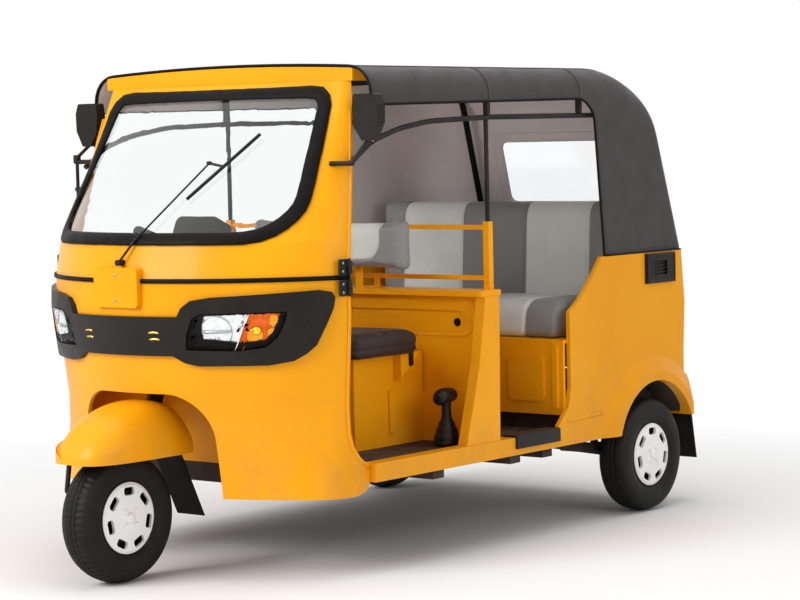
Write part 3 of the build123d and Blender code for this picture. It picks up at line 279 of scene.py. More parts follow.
# %% [markdown]
# Clear sheets come last of the plain finishes. Real window glass is a thin
# solid, so it gets transmission with little roughness and a faint green tint.
# The soft rear window is the same with more haze, and the lamp lenses are
# flutes of clear and amber plastic.

# %% Clear finishes
def clear_finish(name, colour, haze, through=1.0, flute=0.0, ior=1.45):
    material, tree = new_material(name)
    shader = surface(tree, {"Transmission Weight": through, "IOR": ior, "Roughness": haze})
    where = metres(tree)
    smear = spread(tree, noise(tree, where, 3.0, 6.0), 0.35, 0.75, 0.0, 0.12)
    smeared = tuple(c * 0.82 for c in colour)
    join(tree, mixed(tree, smear, colour, smeared), shader.inputs["Base Color"])
    if flute > 0:
        relief(tree, shader, noise(tree, where, 60.0, 1.0), flute, 0.6)
    return material


windscreen_glass = clear_finish("windscreen_glass", (0.93, 0.97, 0.96), 0.0)
window_sheet = clear_finish("rear_window_sheet", (0.95, 0.97, 0.98), 0.06)
lamp_lens = clear_finish("clear_lens", (0.97, 0.98, 1.0), 0.02, 0.85, 0.0006)
amber_lens = clear_finish("amber_lens", (0.95, 0.30, 0.02), 0.05, 0.55, 0.0008)
red_lens = clear_finish("red_lens", (0.75, 0.02, 0.015), 0.08, 0.35, 0.0008)
print("clear finishes made")

# %% [markdown]
# Seats and canopy are coated cloth. The outside of the canopy is a leathery
# dark grey-brown vinyl, and its lining is paler. Fine cells of a Voronoi
# pattern give the embossed grain, and wide noise gives handling marks.

# %% Vinyl finishes
def emboss(tree, where, scale):
    """The pressed grain: how far a point lies from the edge of its Voronoi cell."""
    cells = add(tree, "ShaderNodeTexVoronoi", Scale=scale)
    cells.feature = "DISTANCE_TO_EDGE"
    join(tree, where, cells.inputs["Vector"])
    return cells.outputs["Distance"]


handled_share, emboss_depth = 0.25, 0.00066


def vinyl(name, colour, rough=0.5):
    material, tree = new_material(name)
    shader = surface(tree, {"Sheen Weight": 0.04, "Sheen Roughness": 0.5, "Specular IOR Level": 0.3})
    where = metres(tree)
    mark = spread(tree, noise(tree, where, 4.5, 8.0, 0.6), 0.38, 0.7, 0.0, handled_share)
    base = mixed(tree, mark, colour, tuple(min(1.0, c * 1.35 + 0.01) for c in colour))
    join(tree, base, shader.inputs["Base Color"])
    rubbed = noise(tree, where, 12.0, 5.0)
    join(tree, spread(tree, rubbed, 0.3, 0.7, rough - 0.08, rough + 0.12), shader.inputs["Roughness"])
    relief(tree, shader, emboss(tree, where, 620.0), emboss_depth, 0.5)
    return material


canopy_vinyl = vinyl("canopy_vinyl", (0.038, 0.033, 0.033))
lining_vinyl = vinyl("canopy_lining", (0.74, 0.70, 0.70), 0.7)
seat_light = vinyl("seat_vinyl_light", (0.43, 0.44, 0.42), 0.42)
saddle_vinyl = vinyl("saddle_vinyl", (0.027, 0.018, 0.016), 0.45)
print("vinyls made")

# %% [markdown]
# A CAD node keeps its shape here and only changes its finish. One table says
# which finish each node takes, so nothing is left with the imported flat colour.

# %% Finish of each CAD node
def give(node_name, material):
    shape = nodes[node_name]
    shape.data.materials.clear()
    shape.data.materials.append(material)


node_finish = {
    body_enamel: "front_cowl windscreen_panel plate_board roof_header sills rear_quarter_left "
    "rear_quarter_right rear_panel engine_hatch front_mudguard",
    lightened_inner_enamel: "toe_board partition guard_rail driver_pedestal seat_base",
    black_steel: "wiper canopy_frame rear_bumper handlebar steering_fork",
    frame_steel: "underframe head_frame wheel_liners rear_arm_left rear_arm_right",
    black_rubber: "windscreen_seal belt_trim front_mudflap hand_lever front_tyre rear_left_tyre "
    "rear_right_tyre",
    bezel_plastic: "lamp_fascia mirrors side_vents instrument_pod",
    mat_rubber: "floor_pan",
    grey_casting: "engine_block",
    worn_plate: "step_plates",
    windscreen_glass: "windscreen",
    window_sheet: "rear_window",
    lamp_lens: "headlamps",
    amber_lens: "front_indicators",
    red_lens: "tail_lamps",
    canopy_vinyl: "canopy",
    saddle_vinyl: "driver_seat",
    seat_light: "driver_backrest passenger_cushion passenger_backrest",
}
for material, names in node_finish.items():
    for name in names.split():
        give(name, material)
print("nodes finished", sum(len(names.split()) for names in node_finish.values()))

# %% [markdown]
# A wheel is one imported solid: a black rim with a white pressed cover on it. The
# disc behind the cover is black too, which is painted shade seen through the slots.
# The two paints are told apart by how far a point lies from the axle and how far
# out along it, worked out in the material, so the solid stays as it is.

# %% Wheel paint
def wheel_paint(name, middle, outer_side, cover_radius, cover_depth):
    """White where a point lies inside the cover's radius and outside the depth of its back."""
    material, tree = new_material(name)
    shader = surface(tree, {"Coat Weight": 0.2, "Coat Roughness": 0.2, "Specular IOR Level": 0.3})
    where = metres(tree)
    axes = split_axes(tree, where)
    squares = []
    for key, centre in (("Y", middle.y), ("Z", middle.z)):
        offset = sum_of(tree, axes[key], -centre)
        squares.append(sum_of(tree, offset, offset, how="MULTIPLY"))
    inside = spread(tree, sum_of(tree, *squares), cover_radius**2, cover_radius**2 * 0.98)
    sideways = sum_of(tree, axes["X"], -middle.x)
    depth = sum_of(tree, sideways, float(outer_side), how="MULTIPLY")
    outer = spread(tree, depth, cover_depth - 0.0004, cover_depth)
    dirt = spread(tree, noise(tree, where, 26.0, 8.0, 0.7), 0.50, 0.80, 0.0, 0.22)
    white = mixed(tree, dirt, (0.93, 0.93, 0.92), (0.62, 0.58, 0.52))
    covered = sum_of(tree, inside, outer, how="MULTIPLY")
    # Off the cover's face it is black: the rim's own colour, and painted shade on the disc in the slots.
    join(tree, mixed(tree, covered, (0.008, 0.008, 0.008), white), shader.inputs["Base Color"])
    join(tree, spread(tree, dirt, 0.0, 0.3, 0.3, 0.55), shader.inputs["Roughness"])
    relief(tree, shader, noise(tree, where, 240.0, 2.0), 0.0002, 0.3)
    return material


# The wheel's middle is half the barrel's width out from its inner face.
barrel_half, cover_back, cover_reach = 0.046, 0.0442, 0.1145
wheel_paints = {}
for name, outer_side in (("front_wheel", 1), ("rear_left_wheel", 1), ("rear_right_wheel", -1)):
    low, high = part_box(name)
    middle = (low + high) / 2
    middle.x = low.x + barrel_half if outer_side > 0 else high.x - barrel_half
    wheel_paints[name] = wheel_paint(name + "_paint", middle, outer_side, cover_reach, cover_back)
    give(name, wheel_paints[name])
print("wheels painted")

# %% [markdown]
# Most of the added pieces are either a skin drawn through rows of points, a bar
# swept along a line, or a round form turned about an axle. Three small builders
# cover these. One more gives the form a finish and lets it ride on a body of the
# frame, so it follows that body in every pose. Forms can be joined into one
# piece, and one side of the vehicle can be mirrored to the other.

# %% Builder of pieces
weld_distance = 0.00005


def piece_from(name, points, faces, finish, body, stands_for=(), slot=None, flat_shaded=False):
    """A new piece that rides on a body, and names the nodes it replaces; the slot it is given is not used.
    """
    data = bpy.data.meshes.new(name)
    data.from_pydata([tuple(p) for p in points], [], faces)
    shape = bmesh.new()
    shape.from_mesh(data)
    bmesh.ops.remove_doubles(shape, verts=shape.verts, dist=weld_distance)
    bmesh.ops.recalc_face_normals(shape, faces=shape.faces)
    shape.to_mesh(data)
    shape.free()
    for face in data.polygons:
        face.use_smooth = not flat_shaded
    data.materials.append(finish)
    made = bpy.data.objects.new(name, data)
    scene.collection.objects.link(made)
    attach(made, body)
    if stands_for:
        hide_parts(*stands_for)
    return made


def chassis_trim(name, form, finish, slot):
    """A small added form that rides on the chassis; the slot it is given is passed on but not used."""
    return piece_from(name, *form, finish, "chassis", slot=slot)


print("piece builders ready")

# %% Skins, bars and turned forms
def grid_faces(rows, columns, round_rows=False, round_columns=False):
    """The faces between rows of points, closed round either way where that is asked for."""
    faces = []
    for r in range(rows if round_rows else rows - 1):
        for c in range(columns if round_columns else columns - 1):
            here, further = r * columns, (r + 1) % rows * columns
            c2 = (c + 1) % columns
            faces.append((here + c, further + c, further + c2, here + c2))
    return faces


def ring_outline(width, height, count=10):
    """A round or flattened cross-section, as pairs across and up."""
    turns = [2 * math.pi * i / count for i in range(count)]
    return [(width / 2 * math.cos(a), height / 2 * math.sin(a)) for a in turns]


def swept(path, outline, ups, closed=False):
    """Points and faces of a bar whose cross-section follows a path; ups say which way its top faces."""
    path = [Vector(p) for p in path]
    last = len(path) - 1
    if not hasattr(ups, "__len__") or isinstance(ups, Vector) or len(ups) != len(path):
        ups = [ups] * len(path)
    points = []
    for i, place in enumerate(path):
        before = path[i - 1] if i > 0 or closed else place
        after = path[(i + 1) % len(path)] if i < last or closed else place
        along = (after - before).normalized()
        across = along.cross(Vector(ups[i])).normalized()
        top = across.cross(along)
        points += [place + across * a + top * b for a, b in outline]
    count = len(outline)
    faces = grid_faces(len(path), count, round_rows=closed, round_columns=True)
    if not closed:
        faces += [tuple(range(count)), tuple(last * count + i for i in reversed(range(count)))]
    return points, faces


def turned(profile, centre, axis="X", steps=48):
    """Points and faces of a round form: pairs of distance along the axle and radius, turned about it."""
    points = []
    for step in range(steps):
        angle = 2 * math.pi * step / steps
        for along, radius in profile:
            a, b = radius * math.cos(angle), radius * math.sin(angle)
            offset = {"X": (along, a, b), "Y": (a, along, b), "Z": (a, b, along)}[axis]
            points.append(Vector(centre) + Vector(offset))
    return points, grid_faces(steps, len(profile), round_rows=True)


print("form builders ready")

# %% Joined, rounded and mirrored forms
def gathered(parts):
    """Several builds joined into one list of points and one of faces."""
    points, faces = [], []
    for more_points, more_faces in parts:
        faces += [tuple(len(points) + i for i in face) for face in more_faces]
        points += more_points
    return points, faces


def rounded_run(corners, radius, bits=5, closed=False):
    """A line of corners with each corner turned into a short curve."""
    corners = [Vector(c) for c in corners]
    made = []
    for i, corner in enumerate(corners):
        if not closed and i in (0, len(corners) - 1):
            made.append(corner)
            continue
        before, after = corners[i - 1], corners[(i + 1) % len(corners)]
        reach = min(radius, (before - corner).length * 0.49, (after - corner).length * 0.49)
        start = corner + (before - corner).normalized() * reach
        end = corner + (after - corner).normalized() * reach
        for bit in range(bits + 1):
            t = bit / bits
            made.append(start * (1 - t) ** 2 + corner * 2 * t * (1 - t) + end * t**2)
    return made


def mirrored_too(points, faces):
    """The same form on both sides of the vehicle."""
    other = [Vector((-p[0], p[1], p[2])) for p in points]
    return gathered([(points, faces), (other, [tuple(reversed(f)) for f in faces])])


print("joining and mirroring ready")

# %% [markdown]
# The canopy is one cloth pulled over hoops: across the roof, round the rear
# corners and down to the body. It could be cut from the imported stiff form, but
# that has sharp folds. Here it is one grid instead. Each row of the grid is a
# hoop of cloth, and the rows start at the visor, run back over the roof, turn
# down, and end at the waist. Behind the doors the rows fan forward, as the cloth
# of a pram hood does.

# %% Canopy measures from the frame
canopy_low, canopy_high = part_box("canopy")
roof_z, waist_z = canopy_high.z, canopy_low.z
front_edge_y, tail_edge_y = canopy_low.y, canopy_high.y
roof_half, waist_half = 0.612, canopy_high.x
crown_rise, roof_corner, tail_corner = 0.020, 0.090, 0.050
sag_depth, roof_slope = 0.006, 1.9
back_break = Vector((0, 1.100, 1.520))
roof_break = Vector((0, back_break.y - (roof_z - back_break.z) * roof_slope, roof_z))
hoop_places = (front_edge_y, 0.072, 0.640, 0.99)
valance_front_z, valance_back = 1.4959, Vector((0, 0.634, 1.5128))
side_edge = [valance_back, Vector((0, 0.699, 1.466)), Vector((0, 0.7195, waist_z))]
window_low, window_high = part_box("rear_window")


def canopy_half(height):
    lean = (waist_half - roof_half) / (roof_z - crown_rise - waist_z)
    return roof_half + lean * (roof_z - crown_rise - height)


def back_y(height):
    share = (height - waist_z) / (back_break.z - waist_z)
    return tail_edge_y + share * (back_break.y - tail_edge_y)


window_box = [round(v, 3) for v in (*window_low, *window_high)]
print("roof", round(roof_z, 3), "waist", round(waist_z, 3), "window", window_box)

# %% Canopy stations along the middle line
def spaced(start, end, gap):
    count = max(1, round((end - start).length / gap))
    return [start.lerp(end, i / count) for i in range(count)]


station_gap = 0.045
bends = [Vector((0, front_edge_y, roof_z)), roof_break, back_break, Vector((0, tail_edge_y, waist_z))]
soft_line = rounded_run(bends, 0.17, bits=8)
stations = []
for start, end in zip(soft_line, soft_line[1:]):
    stations += spaced(start, end, station_gap)
stations.append(soft_line[-1])
for height in (window_low.z, window_high.z):
    nearest = min(range(len(stations)), key=lambda i: abs(stations[i].z - height))
    stations[nearest] = Vector((0, back_y(height), height))
outward = []
for i, place in enumerate(stations):
    along = stations[min(i + 1, len(stations) - 1)] - stations[max(i - 1, 0)]
    outward.append(Vector((0, -along.z, along.y)).normalized())
back_tilt = math.atan2(outward[-1].z, outward[-1].y)
print("stations", len(stations), "back leans", round(math.degrees(back_tilt), 1))

# %% Canopy columns and sag
inner_columns = [-0.48, -0.42, -0.36, -0.30, -0.24, -0.18, window_low.x, -0.06, 0.0, 0.06, 0.12]
inner_columns += [0.18, 0.24, 0.30, 0.36, window_high.x, 0.48]
inner_columns.sort()
corner_bits, side_bits = 6, 9
side_line = rounded_run(side_edge, 0.06, bits=6)


def along_line(line, share):
    """The point at a share of a line's length."""
    lengths = [(b - a).length for a, b in zip(line, line[1:])]
    want = share * sum(lengths)
    for a, b, length in zip(line, line[1:], lengths):
        if want <= length:
            return a.lerp(b, want / length)
        want -= length
    return line[-1].copy()


def sag(y, across):
    """How far the roof's cloth hangs below its line between two hoops."""
    for low, high in zip(hoop_places, hoop_places[1:]):
        if low < y < high:
            return sag_depth * math.sin(math.pi * (y - low) / (high - low)) ** 2 * (1 - across**2)
    return 0.0


print("roof columns", len(inner_columns), "corner and side steps", corner_bits, side_bits)

# %% Canopy rows
def cloth_row(index):
    """One row of the cloth, from the left edge over the top to the right edge."""
    place, normal = stations[index], outward[index]
    tilt = math.atan2(normal.z, normal.y)
    flat_tilt = max(0.0, (tilt - back_tilt) / (math.pi / 2 - back_tilt)) * math.pi / 2
    out = Vector((0, math.cos(flat_tilt), math.sin(flat_tilt)))
    roofness = max(0.0, out.z)
    corner = tail_corner + (roof_corner - tail_corner) * roofness
    half = canopy_half(place.z - out.z * (corner + 0.014))
    drop = crown_rise * roofness
    left = []
    edge_drop = drop * ((half - corner) / roof_half) ** 2
    for bit in range(corner_bits, -1, -1):
        turn = math.pi / 2 * bit / corner_bits
        inward = edge_drop + corner * (1 - math.cos(turn))
        left.append((half - corner + corner * math.sin(turn), inward))
    corner_end = place - out * left[0][1]
    if place.y <= valance_back.y and place.z > roof_z - 0.02:
        share = (place.y - front_edge_y) / (valance_back.y - front_edge_y)
        foot = Vector((0, place.y, valance_front_z + share * (valance_back.z - valance_front_z)))
    else:
        foot = along_line(side_line, foot_share[index])
    skirt = []
    for bit in range(side_bits, 0, -1):
        spot = corner_end.lerp(foot, bit / side_bits)
        skirt.append(Vector((canopy_half(spot.z), spot.y, spot.z)))
    turned_in = [Vector((x, *(place - out * inward)[1:])) for x, inward in left]
    across = []
    for x in reversed(inner_columns):
        inward = drop * (x / roof_half) ** 2 + roofness * sag(place.y, x / roof_half)
        across.append(Vector((x, *(place - out * inward)[1:])))
    right_side = [Vector((-p.x, p.y, p.z)) for p in reversed(skirt + turned_in)]
    return skirt + turned_in + across + right_side


first_fan = next(i for i, p in enumerate(stations) if p.y > valance_back.y)
travel = [0.0]
for a, b in zip(stations[first_fan - 1 :], stations[first_fan:]):
    travel.append(travel[-1] + (b - a).length)
foot_share = {first_fan - 1 + i: t / travel[-1] for i, t in enumerate(travel)}
cloth_rows = [cloth_row(i) for i in range(len(stations))]
columns = len(cloth_rows[0])
print("cloth rows", len(cloth_rows), "columns", columns)

# %% Canopy cloth
cloth_thickness = 0.005


def in_window(corners):
    middle = sum(corners, Vector()) / 4
    return (
        window_low.x < middle.x < window_high.x
        and window_low.z < middle.z < window_high.z
        and middle.y > 1.0
    )


cloth_points = [p for row in cloth_rows for p in row]
cloth_faces = grid_faces(len(cloth_rows), columns)
cloth_faces = [face for face in cloth_faces if not in_window([cloth_points[i] for i in face])]
canopy = piece_from("canopy_cloth", cloth_points, cloth_faces, canopy_vinyl, "chassis", ["canopy"], "canopy")
canopy.data.materials.append(lining_vinyl)
outer_face = canopy.data.polygons[len(canopy.data.polygons) // 2]
if outer_face.normal.dot(outer_face.center - Vector((0, 0.3, 1.2))) < 0:
    canopy.data.flip_normals()
thicken = canopy.modifiers.new("cloth_thickness", "SOLIDIFY")
thicken.thickness = cloth_thickness
thicken.offset = -1.0
thicken.material_offset = 1
smooth = canopy.modifiers.new("cloth_curves", "SUBSURF")
smooth.levels = smooth.render_levels = 1

# %% [markdown]
# Every free edge of such a cloth is folded over and sewn, and a bead of piping
# stiffens the long edges. The bead is a thin bar along the edge itself, and
# the stitches are a row of short threads just inside it. A welt, a raised seam,
# runs across the roof over both middle hoops and along both shoulders.

# %% Helpers for the cloth's edges and seams
def cloth_normal(r, c):
    """The cloth's outward direction at a row and column of its grid."""
    r1, r2 = max(r - 1, 0), min(r + 1, len(cloth_rows) - 1)
    c1, c2 = max(c - 1, 0), min(c + 1, columns - 1)
    along, across = cloth_rows[r2][c] - cloth_rows[r1][c], cloth_rows[r][c2] - cloth_rows[r][c1]
    normal = along.cross(across).normalized()
    from_inside = cloth_rows[r][c] - Vector((0, cloth_rows[r][c].y * 0.6, 1.2))
    return normal if normal.dot(from_inside) > 0 else -normal


def resampled(path, normals, gap):
    """Even steps along a path, with the normals carried along."""
    spots, facing, left_over = [], [], 0.0
    for a, b, n in zip(path, path[1:], normals):
        length = (b - a).length
        step = left_over
        while step < length:
            spots.append(a.lerp(b, step / length))
            facing.append(n)
            step += gap
        left_over = step - length
    return spots, facing


thread_width, stitch_length, stitch_gap, stitch_inset = 0.0016, 0.006, 0.010, 0.016


def stitch_row(path, normals):
    """A row of short threads along a path, each one lifted clear of the cloth."""
    spots, facing = resampled(path, normals, stitch_gap)
    thread = ring_outline(thread_width, thread_width * 0.8, 4)
    parts = []
    for i in range(len(spots) - 1):
        along = (spots[i + 1] - spots[i]).normalized()
        lifted = spots[i] + facing[i] * 0.0006
        half = along * stitch_length / 2
        parts.append(swept([lifted - half, lifted + facing[i] * 0.0004, lifted + half], thread, facing[i]))
    return gathered(parts)


def drawn_in(edge, inner):
    """A point of the cloth's edge moved in to the stitches, towards its neighbour."""
    return edge.lerp(inner, min(1.0, stitch_inset / max(0.001, (inner - edge).length)))


def row_over(y):
    """The row of cloth that lies over a hoop, on the roof and not down the back."""
    return min(range(rows_total), key=lambda r: abs(stations[r].y - y) + (stations[r].z < roof_z - 0.03))


rows_total = len(cloth_rows)
print("hoop seams on rows", [row_over(y) for y in hoop_places[1:3]])

# %% Canopy piping, welts and stitches
left_edge = [cloth_rows[r][0] for r in range(rows_total)]
left_edge_up = [cloth_normal(r, 0) for r in range(rows_total)]
bottom_edge = cloth_rows[-1]
bottom_up = [cloth_normal(rows_total - 1, c) for c in range(columns)]
front_edge = cloth_rows[0]
front_up = [cloth_normal(0, c) for c in range(columns)]
inset_left = [drawn_in(row[0], row[1]) for row in cloth_rows]
inset_bottom = [
    low + (above - low).normalized() * stitch_inset for low, above in zip(cloth_rows[-1], cloth_rows[-2])
]
bead = ring_outline(0.009, 0.009, 8)
edges = gathered(
    [
        mirrored_too(*swept(left_edge, bead, left_edge_up)),
        swept([p + n * 0.001 for p, n in zip(bottom_edge, bottom_up)], bead, bottom_up),
        swept(front_edge, bead, front_up),
    ]
)
piping = chassis_trim("canopy_piping", edges, black_rubber, "canopy")
welt_outline = ring_outline(0.014, 0.005, 8)
seam_rows = [row_over(y) for y in hoop_places[1:3]]
shoulder_column = side_bits + corner_bits
welts = [
    swept(cloth_rows[r], welt_outline, [cloth_normal(r, c) for c in range(columns)]) for r in seam_rows
]
shoulder = [cloth_rows[r][shoulder_column] for r in range(rows_total)]
shoulder_up = [cloth_normal(r, shoulder_column) for r in range(rows_total)]
welts.append(mirrored_too(*swept(shoulder, welt_outline, shoulder_up)))
canopy_welts = chassis_trim("canopy_welts", gathered(welts), canopy_vinyl, "canopy")
threads = gathered(
    [
        mirrored_too(*stitch_row(inset_left, left_edge_up)),
        stitch_row(inset_bottom, bottom_up),
        mirrored_too(*stitch_row([p + Vector((0.011, 0, 0)) for p in shoulder], shoulder_up)),
    ]
)
thread_finish = dark_finish("canopy_thread", (0.10, 0.095, 0.09), 0.7, 400.0, 0.0001)
canopy_stitches = chassis_trim("canopy_stitches", threads, thread_finish, "canopy")
print("stitch points", len(threads[0]))

# %% [markdown]
# The rear window is a clear sheet sewn into the cloth behind a border. The
# border is a flat ring with round corners, one outside and one inside, so the
# cut edge of the cloth never shows. The strap inside is plain webbing that
# holds the rear of the hood down.

# %% Rear window border and strap
tilt_out = Vector((0, math.cos(back_tilt), math.sin(back_tilt)))


def on_back(x, z, proud):
    return Vector((x, back_y(z), z)) + tilt_out * proud


def window_ring(grow, radius):
    """The window's outline, grown by a distance, with round corners."""
    low, high = window_low, window_high
    corners = [
        Vector((low.x - grow, 0, low.z - grow)),
        Vector((high.x + grow, 0, low.z - grow)),
        Vector((high.x + grow, 0, high.z + grow)),
        Vector((low.x - grow, 0, high.z + grow)),
    ]
    return rounded_run(corners, radius, bits=6, closed=True)


def window_border(proud, thick):
    """A flat ring round the window: each row is its growth, its corner radius and its share of the lift."""
    rings = [(0.024, 0.062, 0.0), (0.021, 0.059, 1.0), (0.000, 0.040, 1.0)]
    rings += [(-0.010, 0.032, 1.0), (-0.013, 0.030, 0.0)]
    points = []
    for grow, radius, lift in rings:
        points += [on_back(p.x, p.z, proud + lift * thick) for p in window_ring(grow, radius)]
    return points, grid_faces(len(rings), len(points) // len(rings), round_rows=True, round_columns=True)


border = chassis_trim("rear_window_border", window_border(0.0, 0.004), canopy_vinyl, "canopy")
chassis_trim("rear_window_inner_border", window_border(-0.0052, -0.003), lining_vinyl, "canopy")
seam_line = [on_back(p.x, p.z, 0.0042) for p in window_ring(0.011, 0.05)]
seam_line.append(seam_line[0])
seam_form = stitch_row(seam_line, [tilt_out] * len(seam_line))
window_stitches = chassis_trim("rear_window_stitches", seam_form, thread_finish, "canopy")
strap_line = rounded_run(
    [(-0.228, 0.990, 1.560), (-0.229, 1.046, 1.522), (-0.246, 1.172, 1.150), (-0.250, 1.222, 0.965)], 0.03
)
strap_form = swept(strap_line, ring_outline(0.030, 0.004, 8), Vector((0, -1, 0)))
chassis_trim("hood_strap", strap_form, black_rubber, "canopy")
print("canopy dressed")

# %% [markdown]
# The seats are foam under sewn vinyl. A foam block under a tight cover crowns in
# the middle, and its sides pull in between the corners, which is what a cloth
# simulation with a little pressure inside gives. So each pad starts as a block
# with round edges, a little smaller than its place, is remeshed to even cells,
# blown up, and kept within twelve millimetres of where it was. Points that leave
# the node's own box go back onto it, which also keeps the underside flat. The
# sewn channels are pressed in afterwards, because they are too fine for the cells.

# %% Pad blocks
def pad_block(outline, x_low, x_high, round_edge):
    """A closed form from a side outline (y, z) carried across the vehicle, with round edges."""
    shape = bmesh.new()
    for x in (x_low, x_high):
        for y, z in outline:
            shape.verts.new((x, y, z))
    shape.verts.ensure_lookup_table()
    count = len(outline)
    shape.faces.new(shape.verts[:count])
    shape.faces.new(list(reversed(shape.verts[count:])))
    for i in range(count):
        j = (i + 1) % count
        shape.faces.new([shape.verts[k] for k in (j, i, i + count, j + count)])
    bmesh.ops.recalc_face_normals(shape, faces=shape.faces)
    rounding = {"segments": 5, "profile": 0.5, "affect": "EDGES", "clamp_overlap": True}
    bmesh.ops.bevel(shape, geom=shape.edges[:], offset=round_edge, **rounding)
    data = bpy.data.meshes.new("pad")
    shape.to_mesh(data)
    shape.free()
    return data


def settled(made):
    """Applies what the modifiers show, so the mesh holds it."""
    result = bpy.data.meshes.new_from_object(made.evaluated_get(bpy.context.evaluated_depsgraph_get()))
    made.modifiers.clear()
    made.data = result


print("pad blocks ready")

# %% Blown-up pads and sewn channels
pad_cell, most_move, pressure, frames, cover_stiffness = 0.008, 0.012, 4.0, 20, 12


def blown_up(made):
    """Runs a cloth simulation with pressure inside, and caps how far each point moves."""
    before = [v.co.copy() for v in made.data.vertices]
    cloth = made.modifiers.new("cloth", "CLOTH")
    cloth.settings.quality = 5
    cloth.settings.use_pressure = True
    cloth.settings.uniform_pressure_force = pressure
    cloth.settings.tension_stiffness = cover_stiffness
    cloth.settings.compression_stiffness = cover_stiffness
    cloth.settings.effector_weights.gravity = 0
    cloth.point_cache.frame_start, cloth.point_cache.frame_end = 1, frames
    for step in range(1, frames + 1):
        scene.frame_set(step)
    settled(made)
    scene.frame_set(1)
    for vertex, start in zip(made.data.vertices, before):
        move = vertex.co - start
        if move.length > most_move:
            vertex.co = start + move.normalized() * most_move


def pad(name, outline, x_range, round_edge, node, finish):
    """A padded seat part in place of a CAD node."""
    made = bpy.data.objects.new(name, pad_block(outline, *x_range, round_edge))
    scene.collection.objects.link(made)
    grid = made.modifiers.new("even_cells", "REMESH")
    grid.mode = "VOXEL"
    grid.voxel_size = pad_cell
    settled(made)
    blown_up(made)
    low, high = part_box(node)
    for vertex in made.data.vertices:
        for axis in range(3):
            vertex.co[axis] = min(max(vertex.co[axis], low[axis]), high[axis])
    finer = made.modifiers.new("finer", "SUBSURF")
    finer.levels = finer.render_levels = 1
    settled(made)
    for face in made.data.polygons:
        face.use_smooth = True
    made.data.materials.clear()
    made.data.materials.append(finish)
    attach(made, "chassis")
    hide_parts(node)
    return made


def press_channels(made, lines, depth=0.007, width=0.006):
    """Sewn channels: points near a line are drawn into the pad along their normals."""
    normals = [v.normal.copy() for v in made.data.vertices]
    for vertex, normal in zip(made.data.vertices, normals):
        nearest = min(abs(line(vertex.co)) for line in lines)
        if nearest < width * 4:
            vertex.co -= normal * depth * math.exp(-((nearest / width) ** 2))
    made.data.update()


print("pad builders ready")

# %% [markdown]
# The bench covers are sewn from strips, dark grey in the middle, pale grey on
# both sides of it and dark grey at the ends. They run down the backrest and
# forward over the cushion. One finish holds both vinyls, and a ramp over the
# distance from the middle picks the strip, so each boundary is crisp and lies in
# its sewn channel.

# %% Striped vinyl
seat_sheen = {"Sheen Weight": 0.06, "Sheen Roughness": 0.5, "IOR": 1.46}
hand_marks, seat_emboss = (0.30, 0.29, 0.27), 560.0


def from_middle(tree, axes):
    """How far a point lies from the vehicle's middle plane."""
    size = tree.nodes.new("ShaderNodeMath")
    size.operation = "ABSOLUTE"
    join(tree, axes["X"], size.inputs[0])
    return size.outputs[0]


def striped_vinyl(name, bounds_list, first, second, rough=0.42):
    """Vinyl whose colour alternates outwards from the middle at the listed distances."""
    material, tree = new_material(name)
    shader = surface(tree, seat_sheen)
    where = metres(tree)
    axes = split_axes(tree, where)
    ramp = tree.nodes.new("ShaderNodeValToRGB")
    ramp.color_ramp.interpolation = "CONSTANT"
    ramp.color_ramp.elements[0].position = 0.0
    ramp.color_ramp.elements[0].color = (*first, 1.0)
    ramp.color_ramp.elements[1].position = bounds_list[0]
    ramp.color_ramp.elements[1].color = (*second, 1.0)
    for i, bound in enumerate(bounds_list[1:]):
        element = ramp.color_ramp.elements.new(bound)
        element.color = (*(first if i % 2 == 0 else second), 1.0)
    join(tree, from_middle(tree, axes), ramp.inputs["Fac"])
    mark = spread(tree, noise(tree, where, 5.0, 8.0, 0.6), 0.40, 0.72, 0.0, 0.22)
    join(tree, mixed(tree, mark, ramp.outputs["Color"], hand_marks), shader.inputs["Base Color"])
    rubbed = noise(tree, where, 14.0, 5.0)
    join(tree, spread(tree, rubbed, 0.3, 0.7, rough - 0.08, rough + 0.12), shader.inputs["Roughness"])
    folds = sum_of(tree, noise(tree, where, 30.0, 3.0), 3.0, how="MULTIPLY")
    relief(tree, shader, sum_of(tree, emboss(tree, where, seat_emboss), folds), 0.0007, 0.5)
    return material


dark_grey, pale_grey = (0.23, 0.245, 0.245), (0.74, 0.79, 0.78)
strip_edges = [0.145, 0.43]
bench_stripes = striped_vinyl("bench_stripes", strip_edges, dark_grey, pale_grey)
print("stripes ready")

# %% Passenger bench
cushion_low, cushion_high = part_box("passenger_cushion")
inset = 0.010
cushion_outline = [
    (cushion_low.y + inset, cushion_low.z),
    (cushion_high.y, cushion_low.z),
    (cushion_high.y, cushion_high.z - 0.024),
    (cushion_high.y - 0.06, cushion_high.z - 0.016),
    (cushion_low.y + 0.09, cushion_high.z - 0.014),
    (cushion_low.y + 0.03, cushion_high.z - 0.034),
]
seat_range = (cushion_low.x + inset, cushion_high.x - inset)
cushion = pad("bench_cushion", cushion_outline, seat_range, 0.022, "passenger_cushion", bench_stripes)
strip_lines = [lambda p, x=x: p.x - x for edge in strip_edges for x in (-edge, edge)]
press_channels(cushion, strip_lines)
back_low, back_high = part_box("passenger_backrest")
rest_outline = [
    (back_low.y + 0.012, back_low.z),
    (back_high.y, back_low.z),
    (back_high.y, back_high.z - 0.012),
    (back_low.y + 0.040, back_high.z - 0.012),
]
rest_range = (back_low.x + inset, back_high.x - inset)
backrest = pad("bench_backrest", rest_outline, rest_range, 0.030, "passenger_backrest", bench_stripes)
press_channels(backrest, strip_lines)
print("bench", len(cushion.data.polygons), len(backrest.data.polygons))

# %% [markdown]
# The driver has a dark saddle with a sewn line round its sides, and a small
# backrest: a pale middle panel in a grey surround, sewn together along a line
# with round lower corners.

